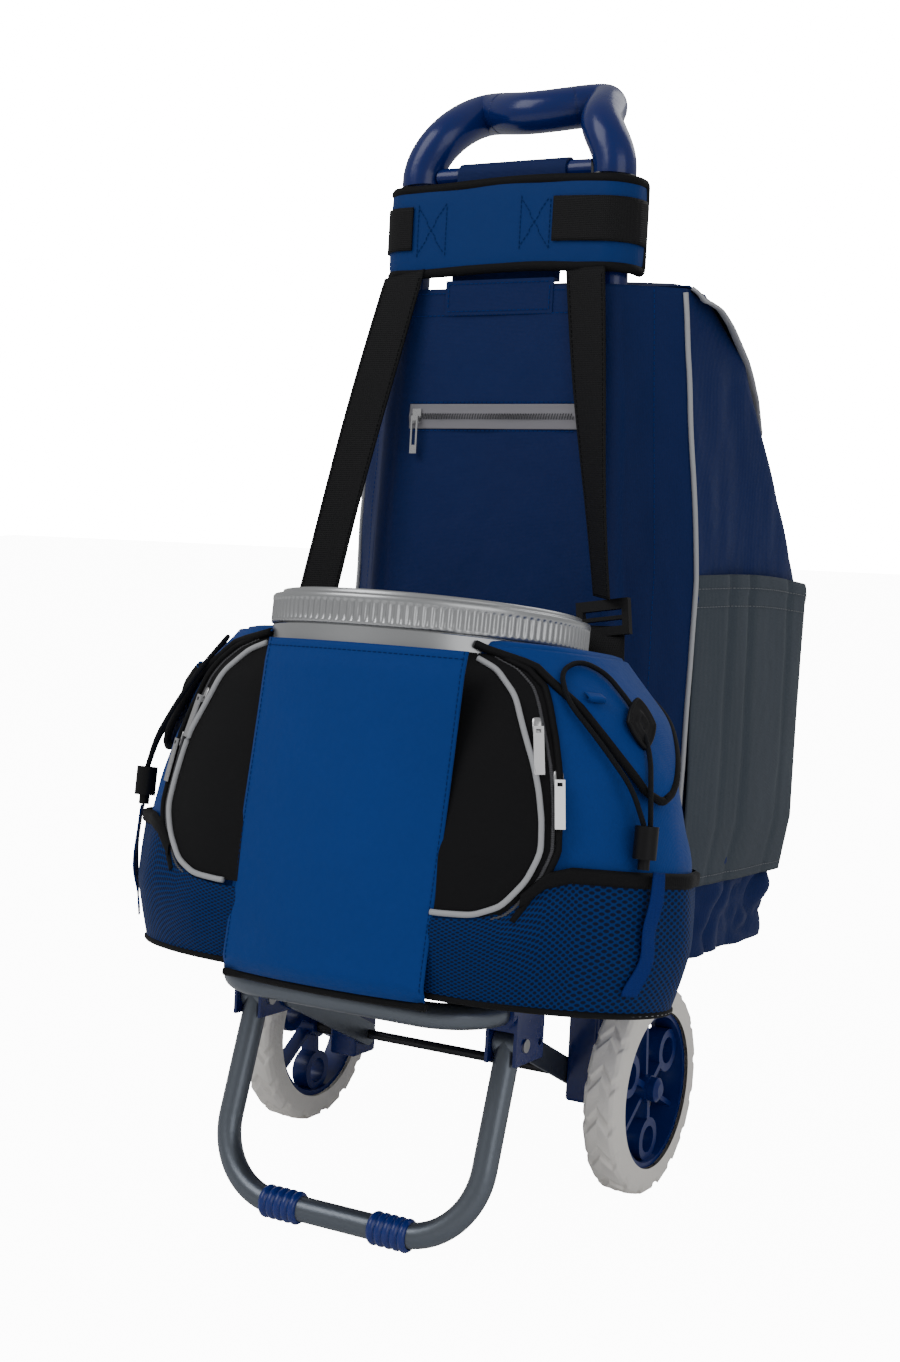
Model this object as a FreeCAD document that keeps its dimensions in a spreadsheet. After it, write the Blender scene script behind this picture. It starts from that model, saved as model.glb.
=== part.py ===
"""Two-wheeled shopping trolley with a rear bag and a cooler bag strapped on its platform.

Millimetres, +Z up, -Y to the front (the leg side), +X to the right seen from the front.
Three frames are used: the ground frame, the frame of the uprights (leaning back about the
axle) and the frame of the cooler bag (leaning back about the middle of its base).
"""
import FreeCAD, Part
import math
import os
from FreeCAD import Placement, Rotation, Vector

doc = FreeCAD.newDocument("ShoppingTrolley")
sheet = doc.addObject("Spreadsheet::Sheet", "Sizes")

DRIVING = [
    ("wheel_radius", 82.5), ("tyre_width", 29), ("hub_radius", 61), ("hub_width", 23), ("rim_wall", 4),
    ("wheel_centre_x", 157), ("boss_radius", 10.5), ("axle_radius", 4), ("running_play", 0.06),
    ("axle_end_x", 171.4), ("bracket_width", 26), ("bracket_depth", 34), ("bracket_top", 98),
    ("bracket_below", 18), ("tube_radius", 12.5), ("tube_wall", 1.5), ("upright_foot_x", 112),
    ("upright_head_x", 87), ("upright_foot", 12), ("upright_head", 742), ("frame_lean", 5.3),
    ("handle_radius", 17), ("handle_start", 716), ("handle_shoulder_x", 70),
    ("handle_shoulder", 760), ("handle_corner_x", 55), ("handle_corner_back", 42),
    ("handle_corner", 783), ("handle_middle_back", 24), ("handle_middle", 777),
    ("crossbar_radius", 8), ("crossbar_height", 722),
    ("lower_bar_height", 112), ("frame_tube_radius", 9.5), ("loop_height", 80), ("loop_front", 206),
    ("loop_corner", 45), ("leg_spread", 112.4), ("leg_corner", 57), ("foot_front", 197),
    ("pad_wall", 3), ("pad_length", 33), ("pad_place_x", 48), ("leg_pin_y", 139), ("leg_pin_z", 150),
    ("pin_radius", 3), ("cheek_wall", 2.6), ("cheek_play", 0.8), ("strut_thick", 3.6), ("lobe_levels", 13),
    ("strut_depth", 19), ("bag_top", 628), ("bag_floor", 90), ("panel_half_width", 97),
    ("panel_front", 17), ("bag_half_width", 180), ("bag_depth", 248), ("cloth_wall", 2.5),
    ("cover_play", 2.5), ("cover_wall", 3), ("cover_skirt", 22), ("cover_reach", 130),
    ("pocket_top", 405), ("pocket_base", 152),
    ("pocket_bulge", 11), ("zip_height", 524), ("zip_length", 154), ("zip_width", 20),
    ("shoulder_pad_base", 641), ("shoulder_pad_tall", 70), ("shoulder_pad_thick", 8),
    ("webbing_width", 38), ("webbing_thick", 2), ("cooler_x", 28), ("cooler_y", 160),
    ("cooler_z", 197), ("cooler_lean", 10.5), ("tub_radius", 112.5), ("tub_wall", 2.5),
    ("tub_height", 262), ("collar_radius", 116.6), ("lid_radius", 118.6),
    ("lid_base", 246.5), ("lid_top", 268), ("lid_wall", 3), ("wrap_thick", 2.2), ("wrap_top", 232),
    ("front_panel_half", 84), ("front_panel_bow", 119.5), ("front_panel_edge", 107.5),
    ("lobe_centre", 75), ("lobe_reach", 219), ("lobe_depth", 108), ("lobe_top", 246),
    ("mesh_top", 94), ("lock_height", 118), ("cord_radius", 1.8),
]
for row, (alias, value) in enumerate(DRIVING, 1):
    sheet.set("A%d" % row, alias)
    sheet.set("B%d" % row, str(value))
    sheet.setAlias("B%d" % row, alias)
doc.recompute()


def size(alias):
    """A driving dimension, read back from the sheet."""
    return float(sheet.get(alias))


X_AXIS = Vector(1, 0, 0)
Y_AXIS = Vector(0, 1, 0)
Z_AXIS = Vector(0, 0, 1)
GROUND = Placement()
UPRIGHT = Placement(Vector(0, 0, size("wheel_radius")), Rotation(X_AXIS, -size("frame_lean")))
COOLER = Placement(Vector(size("cooler_x"), -size("cooler_y"), size("cooler_z")),
                   Rotation(X_AXIS, -size("cooler_lean")))
SIDES = (("left", -1), ("right", 1))
GAP = 0.4  # clearance between soft faces and what they touch
nodes = {}


def keep(name, piece, frame):
    """Name a finished sub-part and carry it, as it is placed, into its frame."""
    piece.Label = name
    piece.Placement = frame.multiply(piece.Placement)
    nodes[name] = piece
    return piece


def primitive(kind, name, base, axis=Z_AXIS, **rules):
    """A Part primitive whose sizes follow the sheet, its Z axis turned to axis."""
    piece = doc.addObject("Part::" + kind, name)
    for prop, rule in rules.items():
        piece.setExpression(prop, rule)
    piece.Placement = Placement(Vector(*base), Rotation(Z_AXIS, axis))
    return piece


def fuse(name, *pieces):
    """One body from several overlapping ones."""
    joined = doc.addObject("Part::MultiFuse", name)
    joined.Shapes = list(pieces)
    joined.Refine = True
    return joined


def cut(name, base, *tools):
    """The base less the tools."""
    rest = doc.addObject("Part::Cut", name)
    rest.Base = base
    rest.Tool = tools[0] if len(tools) == 1 else fuse(name + "_tools", *tools)
    return rest


def group(name, *pieces):
    """Several separate solids kept as one sub-part."""
    lot = doc.addObject("Part::Compound", name)
    lot.Links = list(pieces)
    return lot


def feature(name, shape):
    """A sub-part whose shape is worked out here."""
    piece = doc.addObject("Part::Feature", name)
    piece.Shape = shape
    return piece


def rounded_path(points, radii):
    """Straight runs through the points, joined by tangent arcs of the given radii."""
    pts = [Vector(*p) for p in points]
    edges = []
    start = pts[0]
    for before, corner, after, radius in zip(pts, pts[1:], pts[2:], radii):
        into = (corner - before).normalize()
        out = (after - corner).normalize()
        half_turn = into.getAngle(out) / 2
        back = radius * math.tan(half_turn)
        first = corner - into * back
        last = corner + out * back
        inward = (out - into).normalize()
        middle = corner + inward * (radius / math.cos(half_turn) - radius)
        edges.append(Part.LineSegment(start, first).toShape())
        edges.append(Part.Arc(first, middle, last).toShape())
        start = last
    edges.append(Part.LineSegment(start, pts[-1]).toShape())
    return Part.Wire(edges)


def rod_along(path, radius):
    """A round bar swept along a path."""
    first = path.Edges[0]
    ring = Part.Wire(Part.makeCircle(radius, first.valueAt(first.FirstParameter),
                                     first.tangentAt(first.FirstParameter)))
    return path.makePipeShell([ring], True, True)


def cord_path(points):
    """A cord's route: each arc as large as its two runs allow."""
    pts = [Vector(*p) for p in points]
    radii = []
    for before, corner, after in zip(pts, pts[1:], pts[2:]):
        half_turn = (corner - before).getAngle(after - corner) / 2
        radii.append(0.45 * min((corner - before).Length, (after - corner).Length) / math.tan(half_turn))
    print("cord arc radii", [round(r, 1) for r in radii])
    return rounded_path(points, radii)


def box_between(low, high):
    """A box from its lowest to its highest corner."""
    low, high = Vector(*low), Vector(*high)
    return Part.makeBox(high.x - low.x, high.y - low.y, high.z - low.z, low)


# ---------------------------------------------------------------- wheels, axle, brackets
axle_z = size("wheel_radius")
AXLE_RUN = "2 * Sizes.axle_end_x"
axle = primitive("Cylinder", "axle_rod", (-size("axle_end_x"), 0, 0), X_AXIS,
                 Radius="Sizes.axle_radius", Height=AXLE_RUN)
keep("axle", axle, Placement(Vector(0, 0, axle_z), Rotation()))


def make_wheel(side, way):
    """A moulded hub with three looped spokes, a foam tyre and a snap-on cap."""
    centre = way * size("wheel_centre_x")
    outward = X_AXIS * way
    width = size("hub_width")
    face = centre + way * width / 2
    back = centre - way * width / 2
    at = lambda x, r=0, turn=0: (x, -r * math.sin(math.radians(turn)), r * math.cos(math.radians(turn)))
    rim = cut(side + "_rim",
              primitive("Cylinder", side + "_rim_out", at(back), outward,
                        Radius="Sizes.hub_radius", Height="Sizes.hub_width"),
              primitive("Cylinder", side + "_rim_in", at(back - way), outward,
                        Radius="Sizes.hub_radius - Sizes.rim_wall", Height="Sizes.hub_width + 2"))
    boss = primitive("Cylinder", side + "_boss", at(back), outward,
                     Radius="Sizes.boss_radius", Height="Sizes.hub_width - 3")
    loops = []
    holes = []
    for number in range(3):
        turn = 60 + 120 * number
        reach = size("hub_radius") - size("rim_wall") - 15.5
        start = centre - way * 8
        loops.append(primitive("Cylinder", "%s_loop%d" % (side, number), at(start, reach, turn),
                               outward, Radius="17", Height="15"))
        holes.append(primitive("Cylinder", "%s_eye%d" % (side, number), at(start - way, reach, turn),
                               outward, Radius="10.5", Height="17"))
        rib = primitive("Box", "%s_rib%d" % (side, number), (0, 0, 0),
                        Length="15", Width="5", Height="Sizes.hub_radius - Sizes.rim_wall / 2")
        low_x = min(start, start + way * 15)
        spin = Rotation(X_AXIS, turn)
        rib.Placement = Placement(Vector(low_x, 0, 0) + spin.multVec(Vector(0, -2.5, 0)), spin)
        loops.append(rib)
        fin = primitive("Box", "%s_fin%d" % (side, number), (0, 0, 0),
                        Length="12", Width="4", Height="Sizes.hub_radius - Sizes.rim_wall / 2")
        spin = Rotation(X_AXIS, turn + 60)
        fin.Placement = Placement(Vector(low_x + 1, 0, 0) + spin.multVec(Vector(0, -2, 0)), spin)
        loops.append(fin)
    solid = fuse(side + "_hub_solid", rim, boss, *loops)
    bore = primitive("Cylinder", side + "_bore", at(back - way), outward,
                     Radius="Sizes.axle_radius + Sizes.running_play", Height="Sizes.hub_width + 2")
    hub = cut("wheel_hub_" + side, solid, bore, *holes)
    stand = Placement(Vector(0, 0, axle_z), Rotation())
    keep("wheel_hub_" + side, hub, stand)

    half = size("tyre_width") / 2
    inner = size("hub_radius")
    outer = size("wheel_radius")
    crown = 8
    profile = [(-half, inner), (-half, outer - crown), (-half + 4, outer - 2), (-half + 8, outer),
               (half - 8, outer), (half - 4, outer - 2), (half, outer - crown), (half, inner)]
    ring = Part.makePolygon([Vector(centre + a, 0, r) for a, r in profile + profile[:1]])
    keep("tyre_" + side, feature("tyre_" + side, Part.Face(ring).revolve(Vector(), X_AXIS, 360)), stand)

    cap = fuse("hub_cap_" + side,
               primitive("Cylinder", side + "_cap_skirt", at(face - way * 3), outward,
                         Radius="Sizes.boss_radius - 1", Height="6"),
               primitive("Cone", side + "_cap_crown", at(face + way * 3), outward,
                         Radius1="Sizes.boss_radius - 1", Radius2="Sizes.boss_radius - 5", Height="2.5"))
    nut_room = primitive("Cylinder", side + "_cap_room", at(face - way * 4), outward,
                         Radius="Sizes.boss_radius - 2.4", Height="7.6")
    keep("hub_cap_" + side, cut("hub_cap_" + side, cap, nut_room), stand)

    # a bush between bracket and hub takes up the room left on the axle
    inner_face = size("upright_foot_x") + size("bracket_width") / 2
    bush_run = size("wheel_centre_x") - width / 2 - inner_face - 1
    bush = cut("wheel_bush_" + side,
               primitive("Cylinder", side + "_bush_out", at(way * (inner_face + 0.2)), outward,
                         Radius="7", Height=str(bush_run)),
               primitive("Cylinder", side + "_bush_in", at(way * (inner_face - 1)), outward,
                         Radius="Sizes.axle_radius", Height=str(bush_run + 4)))
    # the nut ends the axle inside the cap, clear of the turning boss
    nut_face = way * (size("wheel_centre_x") + width / 2 - 2.6)
    nut = primitive("Prism", side + "_nut", at(nut_face), outward,
                    Polygon="6", Circumradius="6.6", Height="3.4")
    hole = primitive("Cylinder", side + "_nut_hole", at(nut_face - way), outward,
                     Radius="Sizes.axle_radius", Height="6")
    return bush, cut(side + "_axle_nut", nut, hole)


bushes, nuts = zip(*[make_wheel(side, way) for side, way in SIDES])
keep("axle_nuts", group("axle_nuts", *nuts), Placement(Vector(0, 0, axle_z), Rotation()))
keep("wheel_bushes", group("wheel_bushes", *bushes), Placement(Vector(0, 0, axle_z), Rotation()))

# ---------------------------------------------------------------- uprights and handle
rise = size("upright_head") - size("upright_foot")
narrowing = (size("upright_foot_x") - size("upright_head_x")) / rise


def upright_x(height):
    """Half the distance between the tube centres at a height along the uprights."""
    return size("upright_foot_x") - narrowing * (height - size("upright_foot"))


tube_run = rise * math.hypot(1, narrowing)


def upright_cylinder(name, way, radius_rule, spare=0.0):
    """A cylinder on an upright's centre line, spare longer at each end."""
    lean_in = Vector(-way * narrowing, 0, 1)
    start = Vector(way * size("upright_foot_x"), 0, size("upright_foot")) - lean_in * spare
    return primitive("Cylinder", name, tuple(start), lean_in, Radius=radius_rule,
                     Height=str(tube_run + 2 * spare))


BRACKET_ROUND = 3
for side, way in SIDES:
    outer_tube = upright_cylinder(side + "_tube_out", way, "Sizes.tube_radius")
    bore = upright_cylinder(side + "_tube_in", way, "Sizes.tube_radius - Sizes.tube_wall", 5)
    keep("upright_" + side, cut("upright_" + side, outer_tube, bore), UPRIGHT)
    # square bracket that joins upright, axle and platform loop
    centre_x = way * size("upright_foot_x")
    half_width = size("bracket_width") / 2
    half_depth = size("bracket_depth") / 2
    blank = box_between((centre_x - half_width, -half_depth, -size("bracket_below")),
                        (centre_x + half_width, half_depth, size("bracket_top")))
    block = feature(side + "_block", blank.makeFillet(BRACKET_ROUND, blank.Edges))
    socket = upright_cylinder(side + "_socket", way, "Sizes.tube_radius")
    axle_hole = primitive("Cylinder", side + "_axle_hole", (-size("axle_end_x"), 0, 0), X_AXIS,
                          Radius="Sizes.axle_radius", Height=AXLE_RUN)
    keep("axle_bracket_" + side, cut("axle_bracket_" + side, block, socket, axle_hole), UPRIGHT)

start_x = upright_x(size("handle_start"))
arm = [(start_x, 0, size("handle_start")), (start_x - 1, 0, size("handle_start") + 12),
       (size("handle_shoulder_x"), 9, size("handle_shoulder")),
       (size("handle_corner_x"), size("handle_corner_back"), size("handle_corner"))]
middle = [(0, size("handle_middle_back"), size("handle_middle"))]
bow_line = Part.BSplineCurve()
bow_line.interpolate([Vector(-x, y, z) for x, y, z in arm] + [Vector(*p) for p in middle]
                     + [Vector(*p) for p in reversed(arm)])
bow = Part.Wire(bow_line.toShape())
bow_solid = rod_along(bow, size("handle_radius"))
for side, way in SIDES:
    socket = Part.makeCylinder(size("tube_radius"), tube_run, Vector(
        way * size("upright_foot_x"), 0, size("upright_foot")), Vector(-way * narrowing, 0, 1))
    bow_solid = bow_solid.cut(socket)
keep("handle", feature("handle", bow_solid), UPRIGHT)


def crossbar(name, height, radius_rule, cope_rule):
    """A round bar between the uprights, its ends coped to them."""
    reach = upright_x(height)
    bar = primitive("Cylinder", name + "_bar", (-reach, 0, height), X_AXIS,
                    Radius=radius_rule, Height=str(2 * reach))
    cutters = [upright_cylinder("%s_cope_%s" % (name, side), way, cope_rule) for side, way in SIDES]
    keep(name, cut(name, bar, *cutters), UPRIGHT)


crossbar("upper_crossbar", size("crossbar_height"), "Sizes.crossbar_radius", "Sizes.handle_radius + 2")
crossbar("lower_crossbar", size("lower_bar_height"), "Sizes.crossbar_radius", "Sizes.tube_radius")

# ---------------------------------------------------------------- platform loop and leg
LOOP_END_GAP = 0.5
back_end = -size("tube_radius") - LOOP_END_GAP
loop_x = size("leg_spread")
loop = rod_along(rounded_path(
    [(-loop_x, back_end, size("loop_height")), (-loop_x, -size("loop_front"), size("loop_height")),
     (loop_x, -size("loop_front"), size("loop_height")), (loop_x, back_end, size("loop_height"))],
    [size("loop_corner")] * 2), size("frame_tube_radius"))
keep("platform_loop", feature("platform_loop", loop), UPRIGHT)
for side, way in SIDES:
    bracket = nodes["axle_bracket_" + side]
    pocket = primitive("Cylinder", side + "_loop_seat", (way * loop_x, -size("bracket_depth"),
                                                        size("loop_height")), Y_AXIS,
                       Radius="Sizes.frame_tube_radius", Height=str(size("bracket_depth") + back_end))
    bracket.Placement = GROUND
    bracket.Label = side + "_bracket_blank"
    keep("axle_bracket_" + side, cut("axle_bracket_%s_seated" % side, bracket, pocket), UPRIGHT)

pin = Vector(0, -size("leg_pin_y"), size("leg_pin_z"))
foot_z = size("frame_tube_radius") + size("pad_wall")
foot = Vector(0, -size("foot_front"), foot_z)
down = (foot - pin).normalize()
leg_x = size("leg_spread")
leg = rod_along(rounded_path(
    [(-leg_x, pin.y, pin.z), (-leg_x, foot.y, foot.z), (leg_x, foot.y, foot.z), (leg_x, pin.y, pin.z)],
    [size("leg_corner")] * 2), size("frame_tube_radius"))
for side, way in SIDES:
    eye_start = way * leg_x - size("frame_tube_radius")
    eye = Part.makeCylinder(size("frame_tube_radius"), 2 * size("frame_tube_radius"),
                            Vector(eye_start, pin.y, pin.z), X_AXIS)
    hole = Part.makeCylinder(size("pin_radius") + size("running_play"), 40,
                             Vector(way * leg_x - 20, pin.y, pin.z), X_AXIS)
    leg = leg.fuse(eye).cut(hole)
keep("leg_frame", feature("leg_frame", leg), GROUND)

sleeves = []
for side, way in SIDES:
    place_x = way * size("pad_place_x") - size("pad_length") / 2
    sleeve = cut("foot_pad_" + side,
                 primitive("Cylinder", side + "_pad_out", (place_x, foot.y, foot.z), X_AXIS,
                           Radius="Sizes.frame_tube_radius + Sizes.pad_wall", Height="Sizes.pad_length"),
                 primitive("Cylinder", side + "_pad_in", (place_x - 1, foot.y, foot.z), X_AXIS,
                           Radius="Sizes.frame_tube_radius + 0.8", Height="Sizes.pad_length + 2"))
    sleeves.append(sleeve)
keep("foot_pads", group("foot_pads", *sleeves), GROUND)


def in_ground(shape, frame):
    """A copy of a shape drawn in a frame, as it lies in the ground frame."""
    placed = shape.copy()
    placed.Placement = frame.multiply(placed.Placement)
    return placed


def leg_bracket(side, way):
    """Collar round the loop's side bar, with two cheeks that hold the leg's eye."""
    half = size("frame_tube_radius") + size("cheek_play") + size("cheek_wall")
    mid = UPRIGHT.inverse().multVec(Vector(0, pin.y + 4, pin.z))
    collar = Part.makeCylinder(half, 46, Vector(way * loop_x, mid.y - 24, size("loop_height")), Y_AXIS)
    lower = box_between((way * loop_x - half, mid.y - 18, mid.z - 14),
                        (way * loop_x + half, mid.y + 26, size("loop_height")))
    body = in_ground(collar.fuse(lower), UPRIGHT)
    bar = in_ground(Part.makeCylinder(size("frame_tube_radius"), 80, Vector(
        way * loop_x, mid.y - 40, size("loop_height")), Y_AXIS), UPRIGHT)
    room = size("frame_tube_radius") + size("cheek_play")
    slot = box_between((way * leg_x - room, pin.y - 60, pin.z - 60),
                       (way * leg_x + room, pin.y + 60, pin.z + size("frame_tube_radius") + 3))
    rivet = Part.makeCylinder(size("pin_radius"), 60, Vector(way * leg_x - 30, pin.y, pin.z), X_AXIS)
    bolt = Part.makeCylinder(size("pin_radius"), 60,
                             Vector(way * leg_x - 30, strut_end.y, strut_end.z), X_AXIS)
    return body.cut(bar).cut(slot).cut(rivet).cut(bolt)


strut_end = pin + Vector(0, 24, -3)
axle_point = Vector(0, 0, axle_z)
pins = []
bolts = []
cheek = size("frame_tube_radius") + size("cheek_play") + size("cheek_wall")
for side, way in SIDES:
    keep("leg_bracket_" + side, feature("leg_bracket_" + side, leg_bracket(side, way)), GROUND)
    pins.append(primitive("Cylinder", side + "_leg_pin", (way * leg_x - cheek - 1.5, pin.y, pin.z),
                          X_AXIS, Radius="Sizes.pin_radius", Height=str(2 * cheek + 3)))
    for end in (-1, 1):
        pins.append(primitive("Cylinder", "%s_rivet_head%d" % (side, end),
                              (way * leg_x + end * (cheek + 0.75) - 0.75, pin.y, pin.z), X_AXIS,
                              Radius="Sizes.pin_radius + 2", Height="1.5"))
    # the strut is a flat bar on the inner side of bracket and cheek
    run = (axle_point - strut_end)
    inner = way * (size("upright_foot_x") - size("bracket_width") / 2 - 0.1)
    low_x = min(inner, inner - way * size("strut_thick"))
    bar = Part.makeBox(size("strut_thick"), run.Length, size("strut_depth"),
                       Vector(low_x, 0, -size("strut_depth") / 2))
    slope = math.degrees(math.atan2(run.z, run.y))
    tilt = Placement(Vector(0, strut_end.y, strut_end.z), Rotation(X_AXIS, slope))
    bar.Placement = tilt.multiply(bar.Placement)
    for centre in (strut_end, axle_point):
        bar = bar.fuse(Part.makeCylinder(size("strut_depth") / 2, size("strut_thick"),
                                         Vector(low_x, centre.y, centre.z), X_AXIS))
    bar = bar.cut(Part.makeCylinder(size("pin_radius"), 40,
                                    Vector(low_x - 20, strut_end.y, strut_end.z), X_AXIS))
    bar = bar.cut(Part.makeCylinder(size("axle_radius"), 40, Vector(low_x - 20, 0, axle_z), X_AXIS))
    keep("strut_" + side, feature("strut_" + side, bar.removeSplitter()), GROUND)
    bolt_low = min(way * (leg_x - cheek - size("strut_thick") - 1),
                   way * (leg_x - cheek + size("cheek_wall")))
    shank = Part.makeCylinder(size("pin_radius"), size("strut_thick") + size("cheek_wall") + 1,
                              Vector(bolt_low, strut_end.y, strut_end.z), X_AXIS)
    head_x = inner - way * size("strut_thick")
    head = Part.makeCylinder(size("pin_radius") + 2.5, 3,
                             Vector(head_x, strut_end.y, strut_end.z), X_AXIS * -way)
    bolts.append(feature(side + "_strut_bolt", shank.fuse(head)))
keep("leg_pins", group("leg_pins", *[fuse("leg_pin_" + side, *pins[3 * i:3 * i + 3])
                                      for i, (side, way) in enumerate(SIDES)]), GROUND)
keep("strut_bolts", group("strut_bolts", *bolts), GROUND)

# ---------------------------------------------------------------- rear bag
# each level: height, front half width, corner x and depth, rear x and depth
LEVELS = [
    (size("bag_floor"), size("panel_half_width"), -30, 30, -15, -12),
    (200, size("panel_half_width"), -20, 42, 0, 0),
    (400, size("panel_half_width") - 1, -24, 45, 0, 0),
    (480, size("panel_half_width") - 2, -27, 38, -4, -58),
    (565, size("panel_half_width") - 3, -30, 26, -13, -114),
    (size("bag_top"), size("panel_half_width") - 3, -33, 16, -22, -138),
]


def bag_shape(grow, levels=LEVELS, front=None):
    """The rear bag's outside, pushed out by grow; the front keeps its own offset when given."""
    push = grow if front is None else front
    rings = []
    for height, half, corner_dx, corner_y, rear_dx, rear_dy in levels:
        corner_x = size("bag_half_width") + corner_dx + grow
        rear_x = size("bag_half_width") + rear_dx + grow
        rear_y = size("bag_depth") + rear_dy + grow
        front_y = -size("panel_front") - push
        outline = [(-half, front_y), (half, front_y), (corner_x, corner_y - push), (rear_x, rear_y - 12),
                   (rear_x - 14, rear_y), (-rear_x + 14, rear_y), (-rear_x, rear_y - 12),
                   (-corner_x, corner_y - push)]
        rings.append(Part.makePolygon([Vector(x, y, height) for x, y in outline + outline[:1]]))
    return Part.makeLoft(rings, True, True)


def slab(low_z, high_z, low_y=-400, high_y=400, low_x=-400, high_x=400):
    """A block that keeps the part of a shape between two levels."""
    return box_between((low_x, low_y, low_z), (high_x, high_y, high_z))


# the mouth slopes down to the rear; everything above this plane is open
mouth_front = Vector(0, 46, size("bag_top"))
mouth_rear = Vector(0, size("bag_depth") - 114, 565)
mouth_slope = math.degrees(math.atan2(mouth_rear.z - mouth_front.z, mouth_rear.y - mouth_front.y))


def above_mouth(lift):
    """The half space above the sloping mouth, raised by lift."""
    block = Part.makeBox(800, 600, 300, Vector(-400, 0, lift))
    block.Placement = Placement(mouth_front, Rotation(X_AXIS, mouth_slope)).multiply(block.Placement)
    return block


tubes = None
for side, way in SIDES:
    clear = Part.makeCylinder(size("tube_radius") + GAP, tube_run + 60, Vector(
        way * (size("upright_foot_x") + 30 * narrowing), 0, size("upright_foot") - 30),
        Vector(-way * narrowing, 0, 1))
    tubes = clear if tubes is None else tubes.fuse(clear)
blocks = None
for side, way in SIDES:
    room = box_between((way * size("upright_foot_x") - size("bracket_width") / 2 - 1,
                        -size("bracket_depth") / 2 - 1, -40),
                       (way * size("upright_foot_x") + size("bracket_width") / 2 + 1,
                        size("bracket_depth") / 2 + 1, size("bracket_top") + GAP))
    blocks = room if blocks is None else blocks.fuse(room)

hollow_levels = [(LEVELS[0][0] + size("cloth_wall"),) + LEVELS[0][1:]] + LEVELS[1:-1] + \
                [(size("bag_top") + 1,) + LEVELS[-1][1:]]
bag = bag_shape(0).cut(bag_shape(-size("cloth_wall"), hollow_levels)).cut(above_mouth(0))
bag = bag.cut(tubes).cut(blocks)
keep("rear_bag", feature("rear_bag", bag), UPRIGHT)

board = bag_shape(-size("cloth_wall") - 1, [(94,) + LEVELS[0][1:], (97,) + LEVELS[0][1:]])
board = board.cut(tubes).cut(blocks).cut(slab(0, 200, -60, 24))
keep("rear_bag_board", feature("rear_bag_board", board), UPRIGHT)

COVER_FRONT = 20
# the cover's sides stand upright, so that they clear the bag's sides as the cover swings back
cover_levels = [(height, half, -2 if height < 560 else corner_dx + 20, corner_y,
                 min(rear_dx + 12, 0), rear_dy)
                for height, half, corner_dx, corner_y, rear_dx, rear_dy in LEVELS]
cover_out = bag_shape(size("cover_play") + size("cover_wall"), cover_levels[:-1] + [
    (size("bag_top") + 8,) + cover_levels[-1][1:]])
skirt = math.degrees(math.atan2(-size("cover_skirt"), size("cover_reach")))
hinge_line = Vector(0, COVER_FRONT, size("bag_top") + 1)
cover_low = Part.makeBox(800, 600, 400, Vector(-400, 0, 0))
cover_low.Placement = Placement(hinge_line, Rotation(X_AXIS, mouth_slope + skirt))
cover = cover_out.common(cover_low).cut(above_mouth(size("cover_play") + size("cover_wall")))
cover_in = bag_shape(size("cover_play"), cover_levels[:-1] + [
    (size("bag_top") + size("cover_play"),) + cover_levels[-1][1:]])
cover = cover.cut(cover_in.cut(above_mouth(size("cover_play")))).cut(slab(0, 900, -100, COVER_FRONT))
keep("bag_cover", feature("bag_cover", cover), UPRIGHT)

for side, way in SIDES:
    skin = bag_shape(size("pocket_bulge")).common(slab(
        size("pocket_base"), size("pocket_top"), 50, size("bag_depth") - 16,
        *sorted((way * 100, way * 400))))
    room = bag_shape(size("pocket_bulge") - size("cloth_wall")).common(slab(
        size("pocket_base") + size("cloth_wall"), size("pocket_top") + 1, 50 + size("cloth_wall"),
        size("bag_depth") - 16 - size("cloth_wall"), *sorted((way * 100, way * 400))))
    keep("side_pocket_" + side, feature("side_pocket_" + side, skin.cut(room).cut(bag_shape(GAP))), UPRIGHT)

# hanging loop over the upper crossbar, with the tail that closes on the front panel
bar_r = size("crossbar_radius") + GAP
hang_half = 49
ring = Part.makeCylinder(bar_r + 2, 2 * hang_half, Vector(-hang_half, 0, size("crossbar_height")), X_AXIS)
face_y = -size("panel_front") - GAP
ply = box_between((-hang_half, -bar_r - 2, size("bag_top") + 4), (hang_half, -bar_r, size("crossbar_height")))
bridge = box_between((-hang_half, face_y - 2, size("bag_top") + 4), (hang_half, -bar_r, size("bag_top") + 6))
tail = box_between((-hang_half, face_y - 2, size("bag_top") - 22), (hang_half, face_y, size("bag_top") + 6))
hanger = ring.fuse([ply, bridge, tail]).cut(Part.makeCylinder(bar_r, 2 * hang_half + 2, Vector(
    -hang_half - 1, 0, size("crossbar_height")), X_AXIS))
keep("hanging_loop", feature("hanging_loop", hanger.removeSplitter()), UPRIGHT)

# zipped pocket in the front panel
tape = primitive("Box", "zip_tape_blank", (0, 0, 0), Length="Sizes.zip_length", Width="1.4",
                 Height="Sizes.zip_width")
tape_at = Vector(-size("zip_length") / 2, face_y - 1.4 + 0.3, size("zip_height") - size("zip_width") / 2)
keep("pocket_zip", tape, UPRIGHT.multiply(Placement(tape_at, Rotation())))
slider_x = -size("zip_length") / 2 + 8
slider_face = tape_at.y - 0.2
slider = box_between((slider_x - 4, slider_face - 3, size("zip_height") - 6),
                     (slider_x + 4, slider_face, size("zip_height") + 6))
keep("pocket_zip_slider", feature("pocket_zip_slider", slider), UPRIGHT)
pull_top = Vector(slider_x, slider_face - 5.6, size("zip_height") - 2)
pull = box_between((slider_x - 3.2, pull_top.y - 0.8, pull_top.z - 29),
                   (slider_x + 3.2, pull_top.y + 0.8, pull_top.z + 2))
pull = pull.cut(box_between((slider_x - 1.6, pull_top.y - 2, pull_top.z - 22),
                            (slider_x + 1.6, pull_top.y + 2, pull_top.z - 2)))
keep("pocket_zip_pull", feature("pocket_zip_pull", pull), UPRIGHT)

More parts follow.
